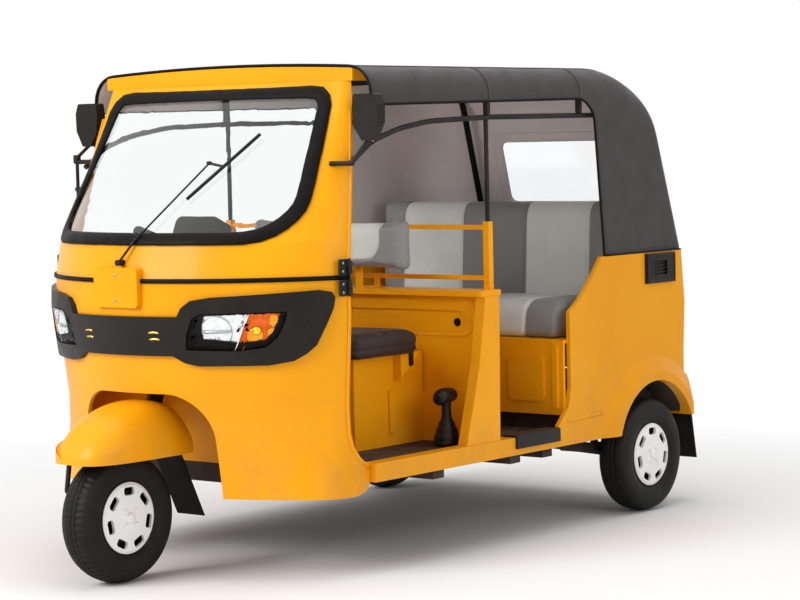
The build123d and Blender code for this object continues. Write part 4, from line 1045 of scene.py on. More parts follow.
# %% Driver's saddle
saddle_low, saddle_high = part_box("driver_seat")
saddle_outline = [
    (saddle_low.y + inset, saddle_low.z),
    (saddle_high.y - inset, saddle_low.z),
    (saddle_high.y - inset, saddle_high.z - 0.016),
    (saddle_low.y + inset, saddle_high.z - 0.016),
]


def round_plan(made, low, high, corner):
    """Draws a block's four upright edges in to round corners, seen from above."""
    middle = (low.y + high.y) / 2
    x_room, y_room = high.x - corner, high.y - middle - corner
    for vertex in made.data.vertices:
        over_x, over_y = abs(vertex.co.x) - x_room, abs(vertex.co.y - middle) - y_room
        reach = math.hypot(over_x, over_y)
        if over_x > 0 and over_y > 0 and reach > corner:
            shrink = corner / reach
            vertex.co.x = math.copysign(x_room + over_x * shrink, vertex.co.x)
            vertex.co.y = middle + math.copysign(y_room + over_y * shrink, vertex.co.y - middle)


saddle_range = (saddle_low.x + inset, saddle_high.x - inset)
saddle = pad("driver_saddle", saddle_outline, saddle_range, 0.026, "driver_seat", saddle_vinyl)
round_plan(saddle, saddle_low, saddle_high, 0.10)
rim_z = saddle_low.z + 0.030
press_channels(saddle, [lambda p: p.z - rim_z], 0.004, 0.005)
print("saddle", len(saddle.data.polygons), "faces")

# %% Driver's backrest
rest_low, rest_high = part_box("driver_backrest")
driver_outline = [
    (rest_low.y + inset, rest_low.z + inset),
    (rest_high.y, rest_low.z + inset),
    (rest_high.y, rest_high.z - inset),
    (rest_low.y + inset, rest_high.z - inset),
]
panel_half, panel_low_z, panel_corner = 0.245, rest_low.z + 0.042, 0.075


def panel_edge(point):
    """How far a point lies from the sewn line round the pale middle panel."""
    across = abs(point.x) - (panel_half - panel_corner)
    down = (panel_low_z + panel_corner) - point.z
    if across > 0 and down > 0:
        return math.hypot(across, down) - panel_corner
    return max(across, down) - panel_corner


def panel_vinyl(name, inner, outer):
    """Two vinyls parted by the sewn line: its distance is worked out from the object's place."""
    material, tree = new_material(name)
    shader = surface(tree, {**seat_sheen, "Roughness": 0.45})
    where = metres(tree)
    axes = split_axes(tree, where)
    across = sum_of(tree, from_middle(tree, axes), panel_corner - panel_half)
    below = sum_of(tree, axes["Z"], -1.0, how="MULTIPLY")
    down = sum_of(tree, below, panel_low_z + panel_corner)
    across, down = (sum_of(tree, v, 0.0, how="MAXIMUM") for v in (across, down))
    squares = [sum_of(tree, v, v, how="MULTIPLY") for v in (across, down)]
    inside = spread(tree, sum_of(tree, *squares), panel_corner**2, panel_corner**2 * 0.985)
    mark = spread(tree, noise(tree, where, 6.0, 8.0, 0.6), 0.40, 0.72, 0.0, 0.2)
    both = mixed(tree, inside, outer, inner)
    join(tree, mixed(tree, mark, both, hand_marks), shader.inputs["Base Color"])
    folds = sum_of(tree, noise(tree, where, 34.0, 3.0), 3.0, how="MULTIPLY")
    relief(tree, shader, sum_of(tree, emboss(tree, where, seat_emboss), folds), 0.0006, 0.5)
    return material


panel_finish = panel_vinyl("driver_back_vinyl", (0.80, 0.86, 0.85), (0.27, 0.285, 0.285))
driver_range = (rest_low.x + inset, rest_high.x - inset)
driver_rest = pad(
    "driver_backrest_pad", driver_outline, driver_range, 0.022, "driver_backrest", panel_finish
)
press_channels(driver_rest, [panel_edge], 0.005, 0.005)
print("driver's backrest", len(driver_rest.data.polygons), "faces")

# %% [markdown]
# A tyre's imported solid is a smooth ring. The real one has a tread of ribs and
# notches on its crown and fine raised rings on its side walls. The tyre here is
# a grid round the axle. Each step of the grid is one section of the rubber, set
# lower where a groove runs round the tread and where a notch crosses it.

# %% Tyres
rim_radius, crown_share, crown_fall = 0.1165, 0.62, 0.0066
groove_depth, notch_depth, centre_notch_depth = 0.0045, 0.004, 0.0015
steps, blocks, wall_bits = 240, 60, 14


def tyre(node, body):
    """A treaded tyre in place of a node: each step of the grid is one section of the rubber."""
    low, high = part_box(node)
    centre = (low + high) / 2
    radius, half_width = (high.z - low.z) / 2, (high.x - low.x) / 2
    crown = half_width * crown_share
    offsets = [-1.0, -0.97, -0.80, -0.72, -0.70, -0.48, -0.46, -0.40, -0.38, -0.14, -0.12, -0.05, -0.03]
    offsets += [-o for o in reversed(offsets)]
    points = []
    for step in range(steps):
        angle = 2 * math.pi * step / steps
        notch = step % (steps // blocks) == 0
        row = []
        for share in offsets:
            drop = crown_fall * share**2
            if 0.40 <= abs(share) <= 0.46 or 0.05 <= abs(share) <= 0.12:
                drop += groove_depth
            elif notch and abs(share) > 0.46:
                drop += notch_depth
            elif notch and abs(share) > 0.12:
                drop += centre_notch_depth
            row.append((share * crown, radius - drop))
        wall = []
        depth = radius - crown_fall - rim_radius
        for bit in range(1, wall_bits + 1):
            t = bit / wall_bits
            bulge = math.sin(math.pi * min(1.0, 0.12 + 0.80 * t)) ** 0.75
            ring = 0.0011 if bit in (4, 9, 11) else 0.0
            wide = crown + (half_width - 0.0012 - crown) * bulge + ring
            wall.append((wide, radius - crown_fall - depth * t))
        wall.append((crown * 0.98, rim_radius))
        section = [(-a, b) for a, b in reversed(wall)] + row + wall
        for along, reach in section:
            points.append(centre + Vector((along, reach * math.cos(angle), reach * math.sin(angle))))
    faces = grid_faces(steps, len(points) // steps, round_rows=True)
    return piece_from(node + "_tread", points, faces, tyre_rubber, body, [node], node)


tyre_dust = (0.06, 0.05, 0.04)
tyre_rubber = dark_finish("tyre_rubber", (0.007, 0.007, 0.0065), 0.55, 260.0, 0.0003, tyre_dust, 0.12)
for body in ("front_wheel", "rear_left_wheel", "rear_right_wheel"):
    node = body.replace("wheel", "tyre")
    made = tyre(node, body)
    print(node, len(made.data.polygons), [round(v, 4) for v in made.dimensions])

# %% [markdown]
# Each corner of the nose carries a wide lamp: a bright reflector with a round
# bowl and a bar across it, an amber bowl with its bulb beside it, and one clear
# cover over both. A picture on a flat lens would look painted on, so the cover
# is a thin sheet with real depth behind it. Rays sent in along the lamp's own
# direction find where the lens surface lies, and every layer is set back from it.

# %% Lamp surface
lamp_turn = math.radians(38.6)
lamp_across = Vector((math.cos(lamp_turn), math.sin(lamp_turn), 0))
lamp_ahead = Vector((math.sin(lamp_turn), -math.cos(lamp_turn), 0))


def surface_of(*names):
    """A search tree over the shapes of some CAD nodes."""
    points, faces = [], []
    for name in names:
        data = nodes[name].data
        start = len(points)
        points += [v.co.copy() for v in data.vertices]
        faces += [tuple(start + i for i in face.vertices) for face in data.polygons]
    return BVHTree.FromPolygons(points, faces)


lens_surface = surface_of("headlamps", "front_indicators")
ray_start, far_in = 1.5, 0.3


def on_lens(u, z, depth):
    """The point of the lens at a place across and up, set back by a depth."""
    start = lamp_across * u + lamp_ahead * ray_start + Vector((0, 0, z))
    place = lens_surface.ray_cast(start, -lamp_ahead)[0]
    if place is None:
        place = lens_surface.find_nearest(start - lamp_ahead * far_in)[0]
    return place - lamp_ahead * depth


print("lens surface found at", [round(v, 3) for v in on_lens(-0.3, 0.8, 0.0)])

# %% Lamp outlines and skins
def eased(outline, radius):
    """The outline with its corners rounded."""
    run = rounded_run([(u, z, 0) for u, z in outline], radius, 6, closed=True)
    return [(p.x, p.y) for p in run]


def spokes(outline, centre, count=96):
    """How far an outline reaches from its centre at even angles."""
    reach = []
    for i in range(count):
        angle = 2 * math.pi * i / count
        way = Vector((math.cos(angle), math.sin(angle)))
        best = 0.0
        for a, b in zip(outline, outline[1:] + outline[:1]):
            hit = geometry.intersect_line_line_2d(centre, centre + way * 2, Vector(a), Vector(b))
            if hit is not None:
                best = max(best, (hit - centre).length)
        reach.append(best)
    return reach


def lamp_skin(outline, centre, rings, depth_at):
    """A skin over an outline on the lens; rings are shares of the way out from the centre."""
    centre = Vector(centre)
    reach = spokes(outline, centre)
    points = []
    for share in rings:
        for i, r in enumerate(reach):
            angle = 2 * math.pi * i / len(reach)
            spot = centre + Vector((math.cos(angle), math.sin(angle))) * r * share
            points.append(on_lens(spot.x, spot.y, depth_at(spot.x, spot.y, share)))
    return points, grid_faces(len(rings), len(reach), round_columns=True)


outer_end = [(-0.410, 0.855), (-0.436, 0.843), (-0.455, 0.789)]
inner_end = [(-0.204, 0.748), (-0.169, 0.776), (-0.146, 0.816), (-0.135, 0.859)]
outer_foot, divider_foot, divider_top = (-0.457, 0.741), (-0.302, 0.7375), (-0.254, 0.8573)
lens_edge = [outer_foot, (-0.288, 0.737), *inner_end, *outer_end]
clear_edge = eased([outer_foot, divider_foot, divider_top, *outer_end], 0.014)
amber_edge = eased([divider_foot, *inner_end, divider_top], 0.010)
print("lamp outlines of", len(clear_edge), "and", len(amber_edge), "points")

# %% [markdown]
# A reflector is plated plastic: almost a mirror, a little uneven. The clear part
# shows silver and the turn signal shows deep orange. Both are a metal shader with
# low roughness, the one thing that lets the bowls pick up light and dark.

# %% Reflector finishes
def plated(name, colour, rough, unevenness):
    material, tree = new_material(name)
    shader = surface(tree, {"Metallic": 0.75, "Specular IOR Level": 0.5})
    where = metres(tree)
    cloud = noise(tree, where, 60.0, 3.0)
    pale = tuple(min(1.0, c * 1.25 + 0.02) for c in colour)
    join(tree, mixed(tree, spread(tree, cloud, 0.4, 0.65), colour, pale), shader.inputs["Base Color"])
    join(tree, spread(tree, cloud, 0.3, 0.7, rough, rough + 0.12), shader.inputs["Roughness"])
    relief(tree, shader, noise(tree, where, 150.0, 2.0), unevenness, 0.4)
    return material


silver_plate = plated("silver_reflector", (0.86, 0.88, 0.90), 0.16, 0.0006)
amber_plate = plated("amber_reflector", (0.72, 0.115, 0.004), 0.25, 0.0008)
amber_bowl_plate = plated("amber_bowl", (1.0, 0.34, 0.012), 0.2, 0.0005)
bulb_amber = plated("amber_bulb", (1.0, 0.60, 0.03), 0.2, 0.0002)
grey_plate = plated("grey_reflector_trim", (0.42, 0.44, 0.46), 0.22, 0.0004)
print("reflector finishes ready")

# %% [markdown]
# The silver part is a shallow floor that rises to the lens along its rim. Two
# round bowls stand in it: their edges come close to the lens, and their middles
# drop back to the floor. The depth rule below gives that shape, and the grid of
# the skin follows it.

# %% Headlamp reflector
bowl_u, bowl_z, bowl_radius = -0.360, 0.797, 0.052
small_u, small_z, small_radius = -0.432, 0.775, 0.019
silver_floor, bowl_edge_depth, bowl_fall = 0.0085, 0.0030, 0.0065
rim_rings = (1.0, 0.985, 0.96, 0.92, 0.86, 0.78, 0.69, 0.60, 0.5, 0.4, 0.3, 0.2, 0.1, 0.02)


def silver_depth(u, z, share):
    depth = silver_floor if share < 0.97 else silver_floor * (1 - share) / 0.03 + 0.0015
    for mid_u, mid_z, radius in ((bowl_u, bowl_z, bowl_radius), (small_u, small_z, small_radius)):
        away = math.hypot(u - mid_u, z - mid_z) / radius
        if away < 1.0 and share < 0.99:
            depth = min(depth, bowl_edge_depth + bowl_fall * (1 - away**4))
    return depth


reflector = piece_from(
    "headlamp_reflectors",
    *mirrored_too(*lamp_skin(clear_edge, (-0.355, 0.797), rim_rings, silver_depth)),
    silver_plate,
    "chassis",
    ["headlamps"],
    "headlamps",
)
print("headlamp", len(reflector.data.polygons), "faces")

# %% Headlamp trim and bulb caps
def lens_ring(mid_u, mid_z, radius, depth, width, count=40):
    """A thin rim round a circle on the lens, set back by a depth."""
    turns = [2 * math.pi * i / count for i in range(count)]
    circle = [on_lens(mid_u + radius * math.cos(a), mid_z + radius * math.sin(a), depth) for a in turns]
    return swept(circle, ring_outline(width, 0.0025, 6), lamp_ahead, closed=True)


bar_places = (-0.450, -0.42, -0.39, -0.36, -0.33, -0.312)
bar_line = [on_lens(u, 0.7965 + 0.004 * (u + 0.45) / 0.16, 0.0045) for u in bar_places]
trim = gathered(
    [
        lens_ring(bowl_u, bowl_z, bowl_radius * 0.98, 0.0042, 0.0035),
        lens_ring(small_u, small_z, small_radius, 0.0050, 0.0030),
        swept(bar_line, ring_outline(0.0095, 0.0035, 8), lamp_ahead),
    ]
)
chassis_trim("headlamp_trim", mirrored_too(*trim), grey_plate, "headlamps")


def dome(mid_u, mid_z, radius, back, height, squash=1.0, count=24, bits=6):
    """A low dome on the lens direction, for a bulb or its cap."""
    points = []
    for ring in range(bits + 1):
        tilt = math.pi / 2 * ring / bits
        for i in range(count):
            a = 2 * math.pi * i / count
            r = radius * math.cos(tilt) + 0.0001
            spot = on_lens(mid_u + r * math.cos(a), mid_z + r * math.sin(a) * squash, back)
            points.append(spot + lamp_ahead * height * math.sin(tilt))
    return points, grid_faces(bits + 1, count, round_columns=True)


caps = gathered(
    [
        dome(bowl_u + 0.004, bowl_z - 0.022, 0.0085, 0.0085, 0.005),
        dome(small_u, small_z, 0.006, 0.008, 0.004),
    ]
)
chassis_trim("headlamp_bulb_caps", mirrored_too(*caps), grey_plate, "headlamps")
print("bulb caps", len(caps[1]), "faces on each side")

# %% Turn signals
amber_floor = 0.0095


def amber_depth(u, z, share):
    return amber_floor if share < 0.95 else amber_floor * (1 - share) / 0.05 + 0.001


signal = piece_from(
    "turn_signal_reflectors",
    *mirrored_too(*lamp_skin(amber_edge, (-0.222, 0.803), rim_rings, amber_depth)),
    amber_plate,
    "chassis",
    ["front_indicators"],
    "front_indicators",
)
bowls = gathered(
    [
        dome(-0.238, 0.778, 0.026, amber_floor, 0.0035, 1.2),
        dome(-0.180, 0.790, 0.019, amber_floor, 0.003),
        dome(-0.176, 0.830, 0.017, amber_floor, 0.003, 1.2),
    ]
)
chassis_trim("turn_signal_bowls", mirrored_too(*bowls), amber_bowl_plate, "front_indicators")
bulb = dome(-0.232, 0.800, 0.0145, 0.0075, 0.006)
chassis_trim("turn_signal_bulbs", mirrored_too(*bulb), bulb_amber, "front_indicators")
divide = [on_lens(-0.302 + 0.048 * t, 0.738 + 0.119 * t, 0.002) for t in (0, 0.25, 0.5, 0.75, 1.0)]
divider = swept(divide, ring_outline(0.005, 0.004, 6), lamp_ahead)
chassis_trim("lamp_divider", mirrored_too(*divider), silver_plate, "headlamps")
print("turn signals", len(signal.data.polygons), "faces")

# %% [markdown]
# The cover is one sheet of clear plastic over both parts. A black gasket closes
# the corners between it and the dark fascia, so no gap shows.

# %% Clear covers and gaskets
cover_sheet = clear_finish("lamp_cover", (0.99, 0.99, 0.99), 0.0, 1.0, 0.0, 1.12)
cover_rings = (1.0, 0.9, 0.75, 0.6, 0.45, 0.3, 0.15, 0.02)
round_edge, lens_middle, gasket_count = eased(lens_edge, 0.016), Vector((-0.300, 0.798)), 160
cover = lamp_skin(round_edge, lens_middle, cover_rings, lambda u, z, share: 0.0006)
chassis_trim("lamp_covers", mirrored_too(*cover), cover_sheet, "headlamps")


def gasket_layer():
    """A skin from the sharp-cornered lens edge to the round cover, folded in behind it."""
    sharp = spokes(lens_edge, lens_middle, gasket_count)
    soft = spokes(round_edge, lens_middle, gasket_count)
    points = []
    for reach, extra, depth in ((sharp, 0.002, 0.0004), (soft, -0.0012, 0.0004), (soft, -0.0016, 0.011)):
        for i, r in enumerate(reach):
            a = 2 * math.pi * i / gasket_count
            spot = lens_middle + Vector((math.cos(a), math.sin(a))) * (r + extra)
            points.append(on_lens(spot.x, spot.y, depth))
    return points, grid_faces(3, gasket_count, round_columns=True)


chassis_trim("lamp_gaskets", mirrored_too(*gasket_layer()), black_rubber, "lamp_fascia")
print("lamp covers and gaskets made")

# %% [markdown]
# A black rubber strip runs round the nose at belt height, from the plate's place
# to the door edge, and covers the joint between the two pressings. Its path is
# found by sending level rays in at the nose, so it hugs the real surface.

# %% Nose surface and belt strip
nose_surface = surface_of("front_cowl", "windscreen_panel", "belt_trim", "plate_board")
plate_low, plate_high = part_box("plate_board")
belt_low, belt_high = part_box("belt_trim")
belt_middle = (belt_low.z + belt_high.z) / 2
nose_middle_y, belt_front, bearing_step = -0.45, 0.63, 0.004


def on_nose(bearing, z, proud=0.0):
    """A point on the nose at a compass bearing, 0 straight ahead and positive to the left side."""
    way = Vector((math.sin(bearing), -math.cos(bearing), 0))
    centre = Vector((0, nose_middle_y, z))
    place = nose_surface.ray_cast(centre + way * 1.5, -way, 1.3)[0]
    return None if place is None else place + way * proud


def belt_run(first, last, count=60):
    run = []
    for i in range(count + 1):
        spot = on_nose(first + (last - first) * i / count, belt_middle)
        spot.z = belt_middle
        run.append(spot)
    return run


plate_bearing = math.atan2(plate_high.x + 0.002, belt_front)
door_bearing = plate_bearing
while on_nose(door_bearing + bearing_step, belt_middle) is not None:
    door_bearing += bearing_step
strip_outline = [(-0.0075, -0.003), (-0.0065, 0.0035), (0.0, 0.0045), (0.0065, 0.0035), (0.0075, -0.003)]
strip_path = belt_run(plate_bearing, door_bearing)
strip_ups = []
for i, spot in enumerate(strip_path):
    along = strip_path[min(i + 1, len(strip_path) - 1)] - strip_path[max(i - 1, 0)]
    strip_ups.append(Vector((along.y, -along.x, 0)).normalized())
strip = swept(strip_path, strip_outline, strip_ups)
chassis_trim("belt_strip", mirrored_too(*strip), black_rubber, "belt_trim")
print("door edge bearing", round(math.degrees(door_bearing), 1))
print("belt strip ends at", [round(v, 3) for v in strip_path[-1]])

# %% [markdown]
# Where the strip meets the door edge a black hinge is bolted on each side. It is
# two plates with a rolled knuckle on each and a pin through both, so a half-door
# can be hung there.

# %% Door hinge plates
edge_spot = strip_path[-1]
plate_lift, plate_corner = 0.003, 0.006


def folded_plate(low, high):
    """A plate on the body side with softened edges, as a skin left open at its back."""
    (y0, z0), (y1, z1) = low, high
    x = edge_spot.x
    ring = rounded_run([(0, y0, z0), (0, y1, z0), (0, y1, z1), (0, y0, z1)], plate_corner, 3, closed=True)
    points = [Vector((x + dx, p.y, p.z)) for dx in (-0.004, plate_lift) for p in ring]
    middle = Vector((0, (y0 + y1) / 2, (z0 + z1) / 2))
    points += [Vector((x + plate_lift + 0.0012, *(middle.lerp(p, 0.9))[1:])) for p in ring]
    count = len(ring)
    faces = grid_faces(3, count, round_columns=True)
    faces.append(tuple(2 * count + i for i in range(count)))
    return points, faces


hinge_y, hinge_depth = edge_spot.y, 0.052
hinge_parts = [
    folded_plate((hinge_y - hinge_depth, belt_middle + 0.006), (hinge_y, belt_middle + 0.058)),
    folded_plate((hinge_y - hinge_depth, belt_middle - 0.058), (hinge_y, belt_middle - 0.006)),
]
pin_x, pin_y, knuckle_high = edge_spot.x + 0.007, hinge_y - 0.010, 0.040
knuckle = [(0.0, 0.007), (0.001, 0.0085), (knuckle_high - 0.001, 0.0085), (knuckle_high, 0.007)]
knuckle += [(knuckle_high, 0.0), (0.0, 0.0), (0.0, 0.007)]
for foot in (0.012, -0.052):
    hinge_parts.append(turned(knuckle, (pin_x, pin_y, belt_middle + foot), "Z", 20))
pin = [(-0.060, 0.0), (-0.060, 0.003), (-0.058, 0.004), (0.058, 0.004), (0.060, 0.003), (0.060, 0.0)]
hinge_parts.append(turned(pin, (pin_x, pin_y, belt_middle), "Z", 16))
chassis_trim("door_hinge_plates", mirrored_too(*gathered(hinge_parts)), black_steel, "belt_trim")


def pan_head(centre, axis, radius=0.005, height=0.003, sides=18):
    """A domed bolt head that stands on a surface facing an axis."""
    sign = -1 if axis.startswith("-") else 1
    tilts = [math.pi / 2 * i / 5 for i in range(6)]
    dome_line = [(sign * height * math.sin(a), radius * math.cos(a)) for a in tilts]
    return turned([(-sign * 0.003, radius)] + dome_line, centre, axis[-1], sides)


bolt_places = [(hinge_y - 0.038, belt_middle + z) for z in (-0.046, -0.020, 0.020, 0.046)]
bolt_heads = gathered([pan_head((edge_spot.x + 0.004, y, z), "+X", 0.0045, 0.0028) for y, z in bolt_places])
zinc = dark_finish("zinc_bolts", (0.42, 0.41, 0.38), 0.35, 300.0, 0.0001, (0.2, 0.15, 0.1), 0.3, 0.8)
chassis_trim("hinge_bolts", mirrored_too(*bolt_heads), zinc, "belt_trim")
print("hinges at", [round(v, 3) for v in edge_spot])

# %% [markdown]
# The rear edge of the nose is folded back into a narrow flange that the eye
# reads as a bright line down the door opening. A slim rolled bead gives it.

# %% Door edge beads
side_surface = surface_of("front_cowl", "windscreen_panel")
edge_foot_z, edge_top_z, edge_count = 0.345, 1.475, 30
search_front_y, search_back_y, search_step = -0.80, -0.40, 0.004


def edge_of_nose(z):
    """The rearmost point of the nose's side at a height, found by stepping back until rays miss."""
    best = None
    y = search_front_y
    while y < search_back_y:
        place = side_surface.ray_cast(Vector((0.9, y, z)), Vector((-1, 0, 0)), 0.40)[0]
        if place is None and best is not None:
            break
        if place is not None:
            best = place
        y += search_step
    return best


bead_path = []
for i in range(edge_count):
    spot = edge_of_nose(edge_foot_z + (edge_top_z - edge_foot_z) * i / (edge_count - 1))
    if spot is not None:
        bead_path.append(spot + Vector((0.0, -0.006, 0)))
bead_ends = [[round(v, 3) for v in bead_path[i]] for i in (0, -1)]
print("door edge from", bead_ends[0], "to", bead_ends[1])
bead_form = swept(bead_path, ring_outline(0.013, 0.007, 10), Vector((1, 0, 0)))
chassis_trim("door_edge_beads", mirrored_too(*bead_form), body_enamel, "front_cowl")

# %% [markdown]
# Small parts finish the nose: two screws that hold a number plate, pairs of gold
# slots in the dark band, and a round grommet out on each lamp surround.

# %% Plate screws, gold slots and grommets
screw_middle_z, screw_reach = 0.936, 0.039
screw_heights = (screw_middle_z - screw_reach, screw_middle_z + screw_reach)
screws = [pan_head((0.0, plate_low.y, z), "-Y", 0.0055, 0.003) for z in screw_heights]
chassis_trim("plate_screws", gathered(screws), zinc, "plate_board")
band_surface = surface_of("lamp_fascia")


def on_band(x, z, proud):
    place = band_surface.ray_cast(Vector((x, -2.0, z)), Vector((0, 1, 0)))[0]
    return place + Vector((0, -proud, 0))


gold_plate = plated("gold_trim", (0.75, 0.50, 0.12), 0.22, 0.0002)
slots = []
for side in (-1, 1):
    for z in (0.797, 0.776):
        run = [on_band(side * (0.125 + 0.009 * i), z - abs(i - 2) * 0.0008, 0.0008) for i in range(5)]
        slots.append(swept(run, ring_outline(0.0065, 0.004, 8), Vector((0, -1, 0))))
chassis_trim("band_slot_trims", gathered(slots), gold_plate, "lamp_fascia")
grommet_line = [(-0.001, 0.0075), (0.002, 0.0075), (0.003, 0.006)]
grommet_line += [(0.003, 0.0045), (0.001, 0.0040), (0.001, 0.0)]


def grommet(u, z):
    """A round grommet on the lamp surround, turned to face the way the lamp does."""
    start = lamp_across * u + lamp_ahead * ray_start + Vector((0, 0, z))
    place, normal, _, _ = band_surface.ray_cast(start, -lamp_ahead)
    points, faces = turned(grommet_line, (0, 0, 0), "Z", 20)
    turn_to = Vector((0, 0, 1)).rotation_difference(normal if normal.dot(lamp_ahead) > 0 else -normal)
    return [place + turn_to @ p for p in points], faces


grommet_pair = mirrored_too(*grommet(-0.075, 0.818))
chassis_trim("surround_grommets", grommet_pair, bezel_plastic, "lamp_fascia")
print("nose trim made")

# %% [markdown]
# The windscreen sits in a thick black rubber. Its frame part is thin, so a
# rounded bead runs round the joint with the body. Its line is found from the
# rubber's own outline: rays step out from the middle in each direction, and the
# first and the last that meet rubber give its inner and its outer edge there.

# %% Windscreen rubber bead
rubber_surface = surface_of("windscreen_seal")
rubber_low, rubber_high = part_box("windscreen_seal")
rubber_middle = Vector((0, (rubber_low.z + rubber_high.z) / 2))


def rubber_limits(angle):
    """The nearest and furthest places of the rubber along one direction in the front view."""
    way = Vector((math.cos(angle), math.sin(angle)))
    found = []
    for i in range(60, 400):
        spot = rubber_middle + way * (i * 0.002)
        place = rubber_surface.ray_cast(Vector((spot.x, -2.0, spot.y)), Vector((0, 1, 0)))[0]
        if place is not None:
            found.append(place)
    return found[0], found[-1]


seal_count = 120
seal_pairs = [rubber_limits(2 * math.pi * i / seal_count) for i in range(seal_count)]
seal_line = [near.lerp(far, 0.55) for near, far in seal_pairs]
seal_width = sum((far - near).length for near, far in seal_pairs) / seal_count
seal_ups = []
for i, spot in enumerate(seal_line):
    along = (seal_line[(i + 1) % seal_count] - seal_line[i - 1]).normalized()
    across = (seal_pairs[i][1] - seal_pairs[i][0]).normalized()
    up_way = along.cross(across)
    seal_ups.append(up_way if up_way.y < 0 else -up_way)
seal_bead = swept(seal_line, ring_outline(seal_width + 0.006, 0.016, 12), seal_ups, closed=True)
chassis_trim("windscreen_rubber_bead", seal_bead, black_rubber, "windscreen_seal")
print("windscreen rubber is", round(seal_width, 4), "wide")

# %% [markdown]
# The sides and tail carry small fittings: louvres in the air inlets, a pressed
# crease ahead of each rear wheel, lamp bezels, and on the engine hatch a grille of
# rolled louvres and a turn handle. They sit on their node's box or on the surface
# that a ray finds, so each one touches what carries it.

# %% Inlet louvres
vent_low, vent_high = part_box("side_vents")
opening_y, opening_z, slat_z, vent_inset = (1.031, 1.109), (0.862, 0.920), (0.866, 0.916), 0.006
slats = []
for i in range(5):
    z = slat_z[0] + (slat_z[1] - slat_z[0]) * i / 4
    stops = (opening_y[0] - 0.002, 1.05, 1.07, 1.09, opening_y[1] + 0.002)
    line = [(vent_high.x - 0.0045, y, z) for y in stops]
    slats.append(swept(line, ring_outline(0.0090, 0.0028, 8), Vector((0.6, 0, 0.8))))


def vent_rim(y_ends, z_ends, corner, width, height):
    """A rolled rim on the vent's outer face."""
    (y0, y1), (z0, z1) = y_ends, z_ends
    corners = [(vent_high.x, y, z) for y, z in ((y0, z0), (y1, z0), (y1, z1), (y0, z1))]
    run = rounded_run(corners, corner, 4, closed=True)
    return swept(run, ring_outline(width, height, 8), Vector((1, 0, 0)), closed=True)


rim_y = (vent_low.y + vent_inset, vent_high.y - vent_inset)
rim_z = (vent_low.z + vent_inset, vent_high.z - vent_inset)
slats.append(vent_rim(rim_y, rim_z, 0.008, 0.010, 0.004))
slats.append(vent_rim(opening_y, opening_z, 0.006, 0.005, 0.003))
louvres = chassis_trim("inlet_louvres", mirrored_too(*gathered(slats)), bezel_plastic, "side_vents")
print("inlet louvres", len(louvres.data.polygons), "faces")

# %% Pressed creases on the sides
body_side = surface_of("rear_quarter_left", "sills", "partition")


def on_side(y, z):
    place = body_side.ray_cast(Vector((1.2, y, z)), Vector((-1, 0, 0)))[0]
    return Vector((place.x, y, z))


crease_places = [0.46 + 0.02 * i for i in range(12)]
crease_line = [on_side(y, 0.384 + (y - 0.42) * 0.035) for y in crease_places]
crease = swept(crease_line, ring_outline(0.016, 0.005, 8), Vector((1, 0, 0)))
chassis_trim("side_creases", mirrored_too(*crease), body_enamel, "rear_quarter_left")
print("crease from", [round(v, 3) for v in crease_line[0]])

# %% Tail lamp bezels and bands
lamp_low, lamp_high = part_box("tail_lamps")
tail_x = (0.435, 0.525)
bezel_y = lamp_high.y - 0.010
bezel_corners = [(x, bezel_y, lamp_low.z) for x in tail_x]
bezel_corners += [(x, bezel_y, lamp_high.z) for x in reversed(tail_x)]
bezel_run = rounded_run(bezel_corners, 0.018, 5, closed=True)
tail_bezel = swept(bezel_run, ring_outline(0.010, 0.012, 8), Vector((0, 1, 0)), closed=True)
chassis_trim("tail_lamp_bezels", mirrored_too(*tail_bezel), black_rubber, "tail_lamps")
bands = []
for z in (lamp_low.z + 0.055, lamp_low.z + 0.108):
    run = [(x, lamp_high.y + 0.0002, z) for x in (0.441, 0.46, 0.48, 0.50, 0.519)]
    bands.append(swept(run, ring_outline(0.004, 0.003, 6), Vector((0, 1, 0))))
chassis_trim("tail_lamp_bands", mirrored_too(*gathered(bands)), black_rubber, "tail_lamps")
top_pane, pane_rows, pane_columns = [], 5, 9
for row in range(pane_rows):
    for i in range(pane_columns):
        z = lamp_low.z + 0.114 + 0.036 * row / (pane_rows - 1)
        bulge = 0.0022 * math.sin(math.pi * (i % 3) / 3) + 0.0008
        top_pane.append(Vector((0.443 + 0.074 * i / (pane_columns - 1), lamp_high.y + bulge, z)))
panes = mirrored_too(top_pane, grid_faces(pane_rows, pane_columns))
chassis_trim("tail_signal_panes", panes, amber_plate, "tail_lamps")
print("tail lamp bezels made")

# %% Hatch louvres and handle
hatch_surface = surface_of("engine_hatch")
lowest_louvre_z, louvre_gap = 0.610, 0.030


def on_hatch(x, z, proud=0.0):
    place = hatch_surface.ray_cast(Vector((x, 1.6, z)), Vector((0, -1, 0)))[0]
    return Vector((x, place.y + proud, z))


ribs = []
for row in range(6):
    z = lowest_louvre_z + louvre_gap * row
    for start, end in ((-0.31, -0.04), (0.04, 0.31)):
        run = []
        for i in range(13):
            t = i / 12
            ease_in = min(1.0, 6 * t, 6 * (1 - t))
            run.append(on_hatch(start + (end - start) * t, z, -0.002 + 0.004 * ease_in))
        ribs.append(swept(run, ring_outline(0.013, 0.008, 8), Vector((0, 1, 0.4))))
piece_from("hatch_louvres", *gathered(ribs), body_enamel, "hatch", slot="engine_hatch")
boss = on_hatch(0.0, 0.535)
boss_line = [(-0.004, 0.022), (0.003, 0.022), (0.006, 0.018), (0.006, 0.009)]
boss_line += [(0.014, 0.008), (0.016, 0.006), (0.016, 0.0)]
grip_places = (-0.036, -0.024, -0.012, 0.0, 0.012, 0.024, 0.036)
grip = [boss + Vector((x, 0.0145 + 0.002 * math.cos(x * 30), 0)) for x in grip_places]
grip_bar = swept(grip, ring_outline(0.013, 0.008, 10), Vector((0, 1, 0)))
handle_parts = gathered([turned(boss_line, boss, "Y", 28), grip_bar])
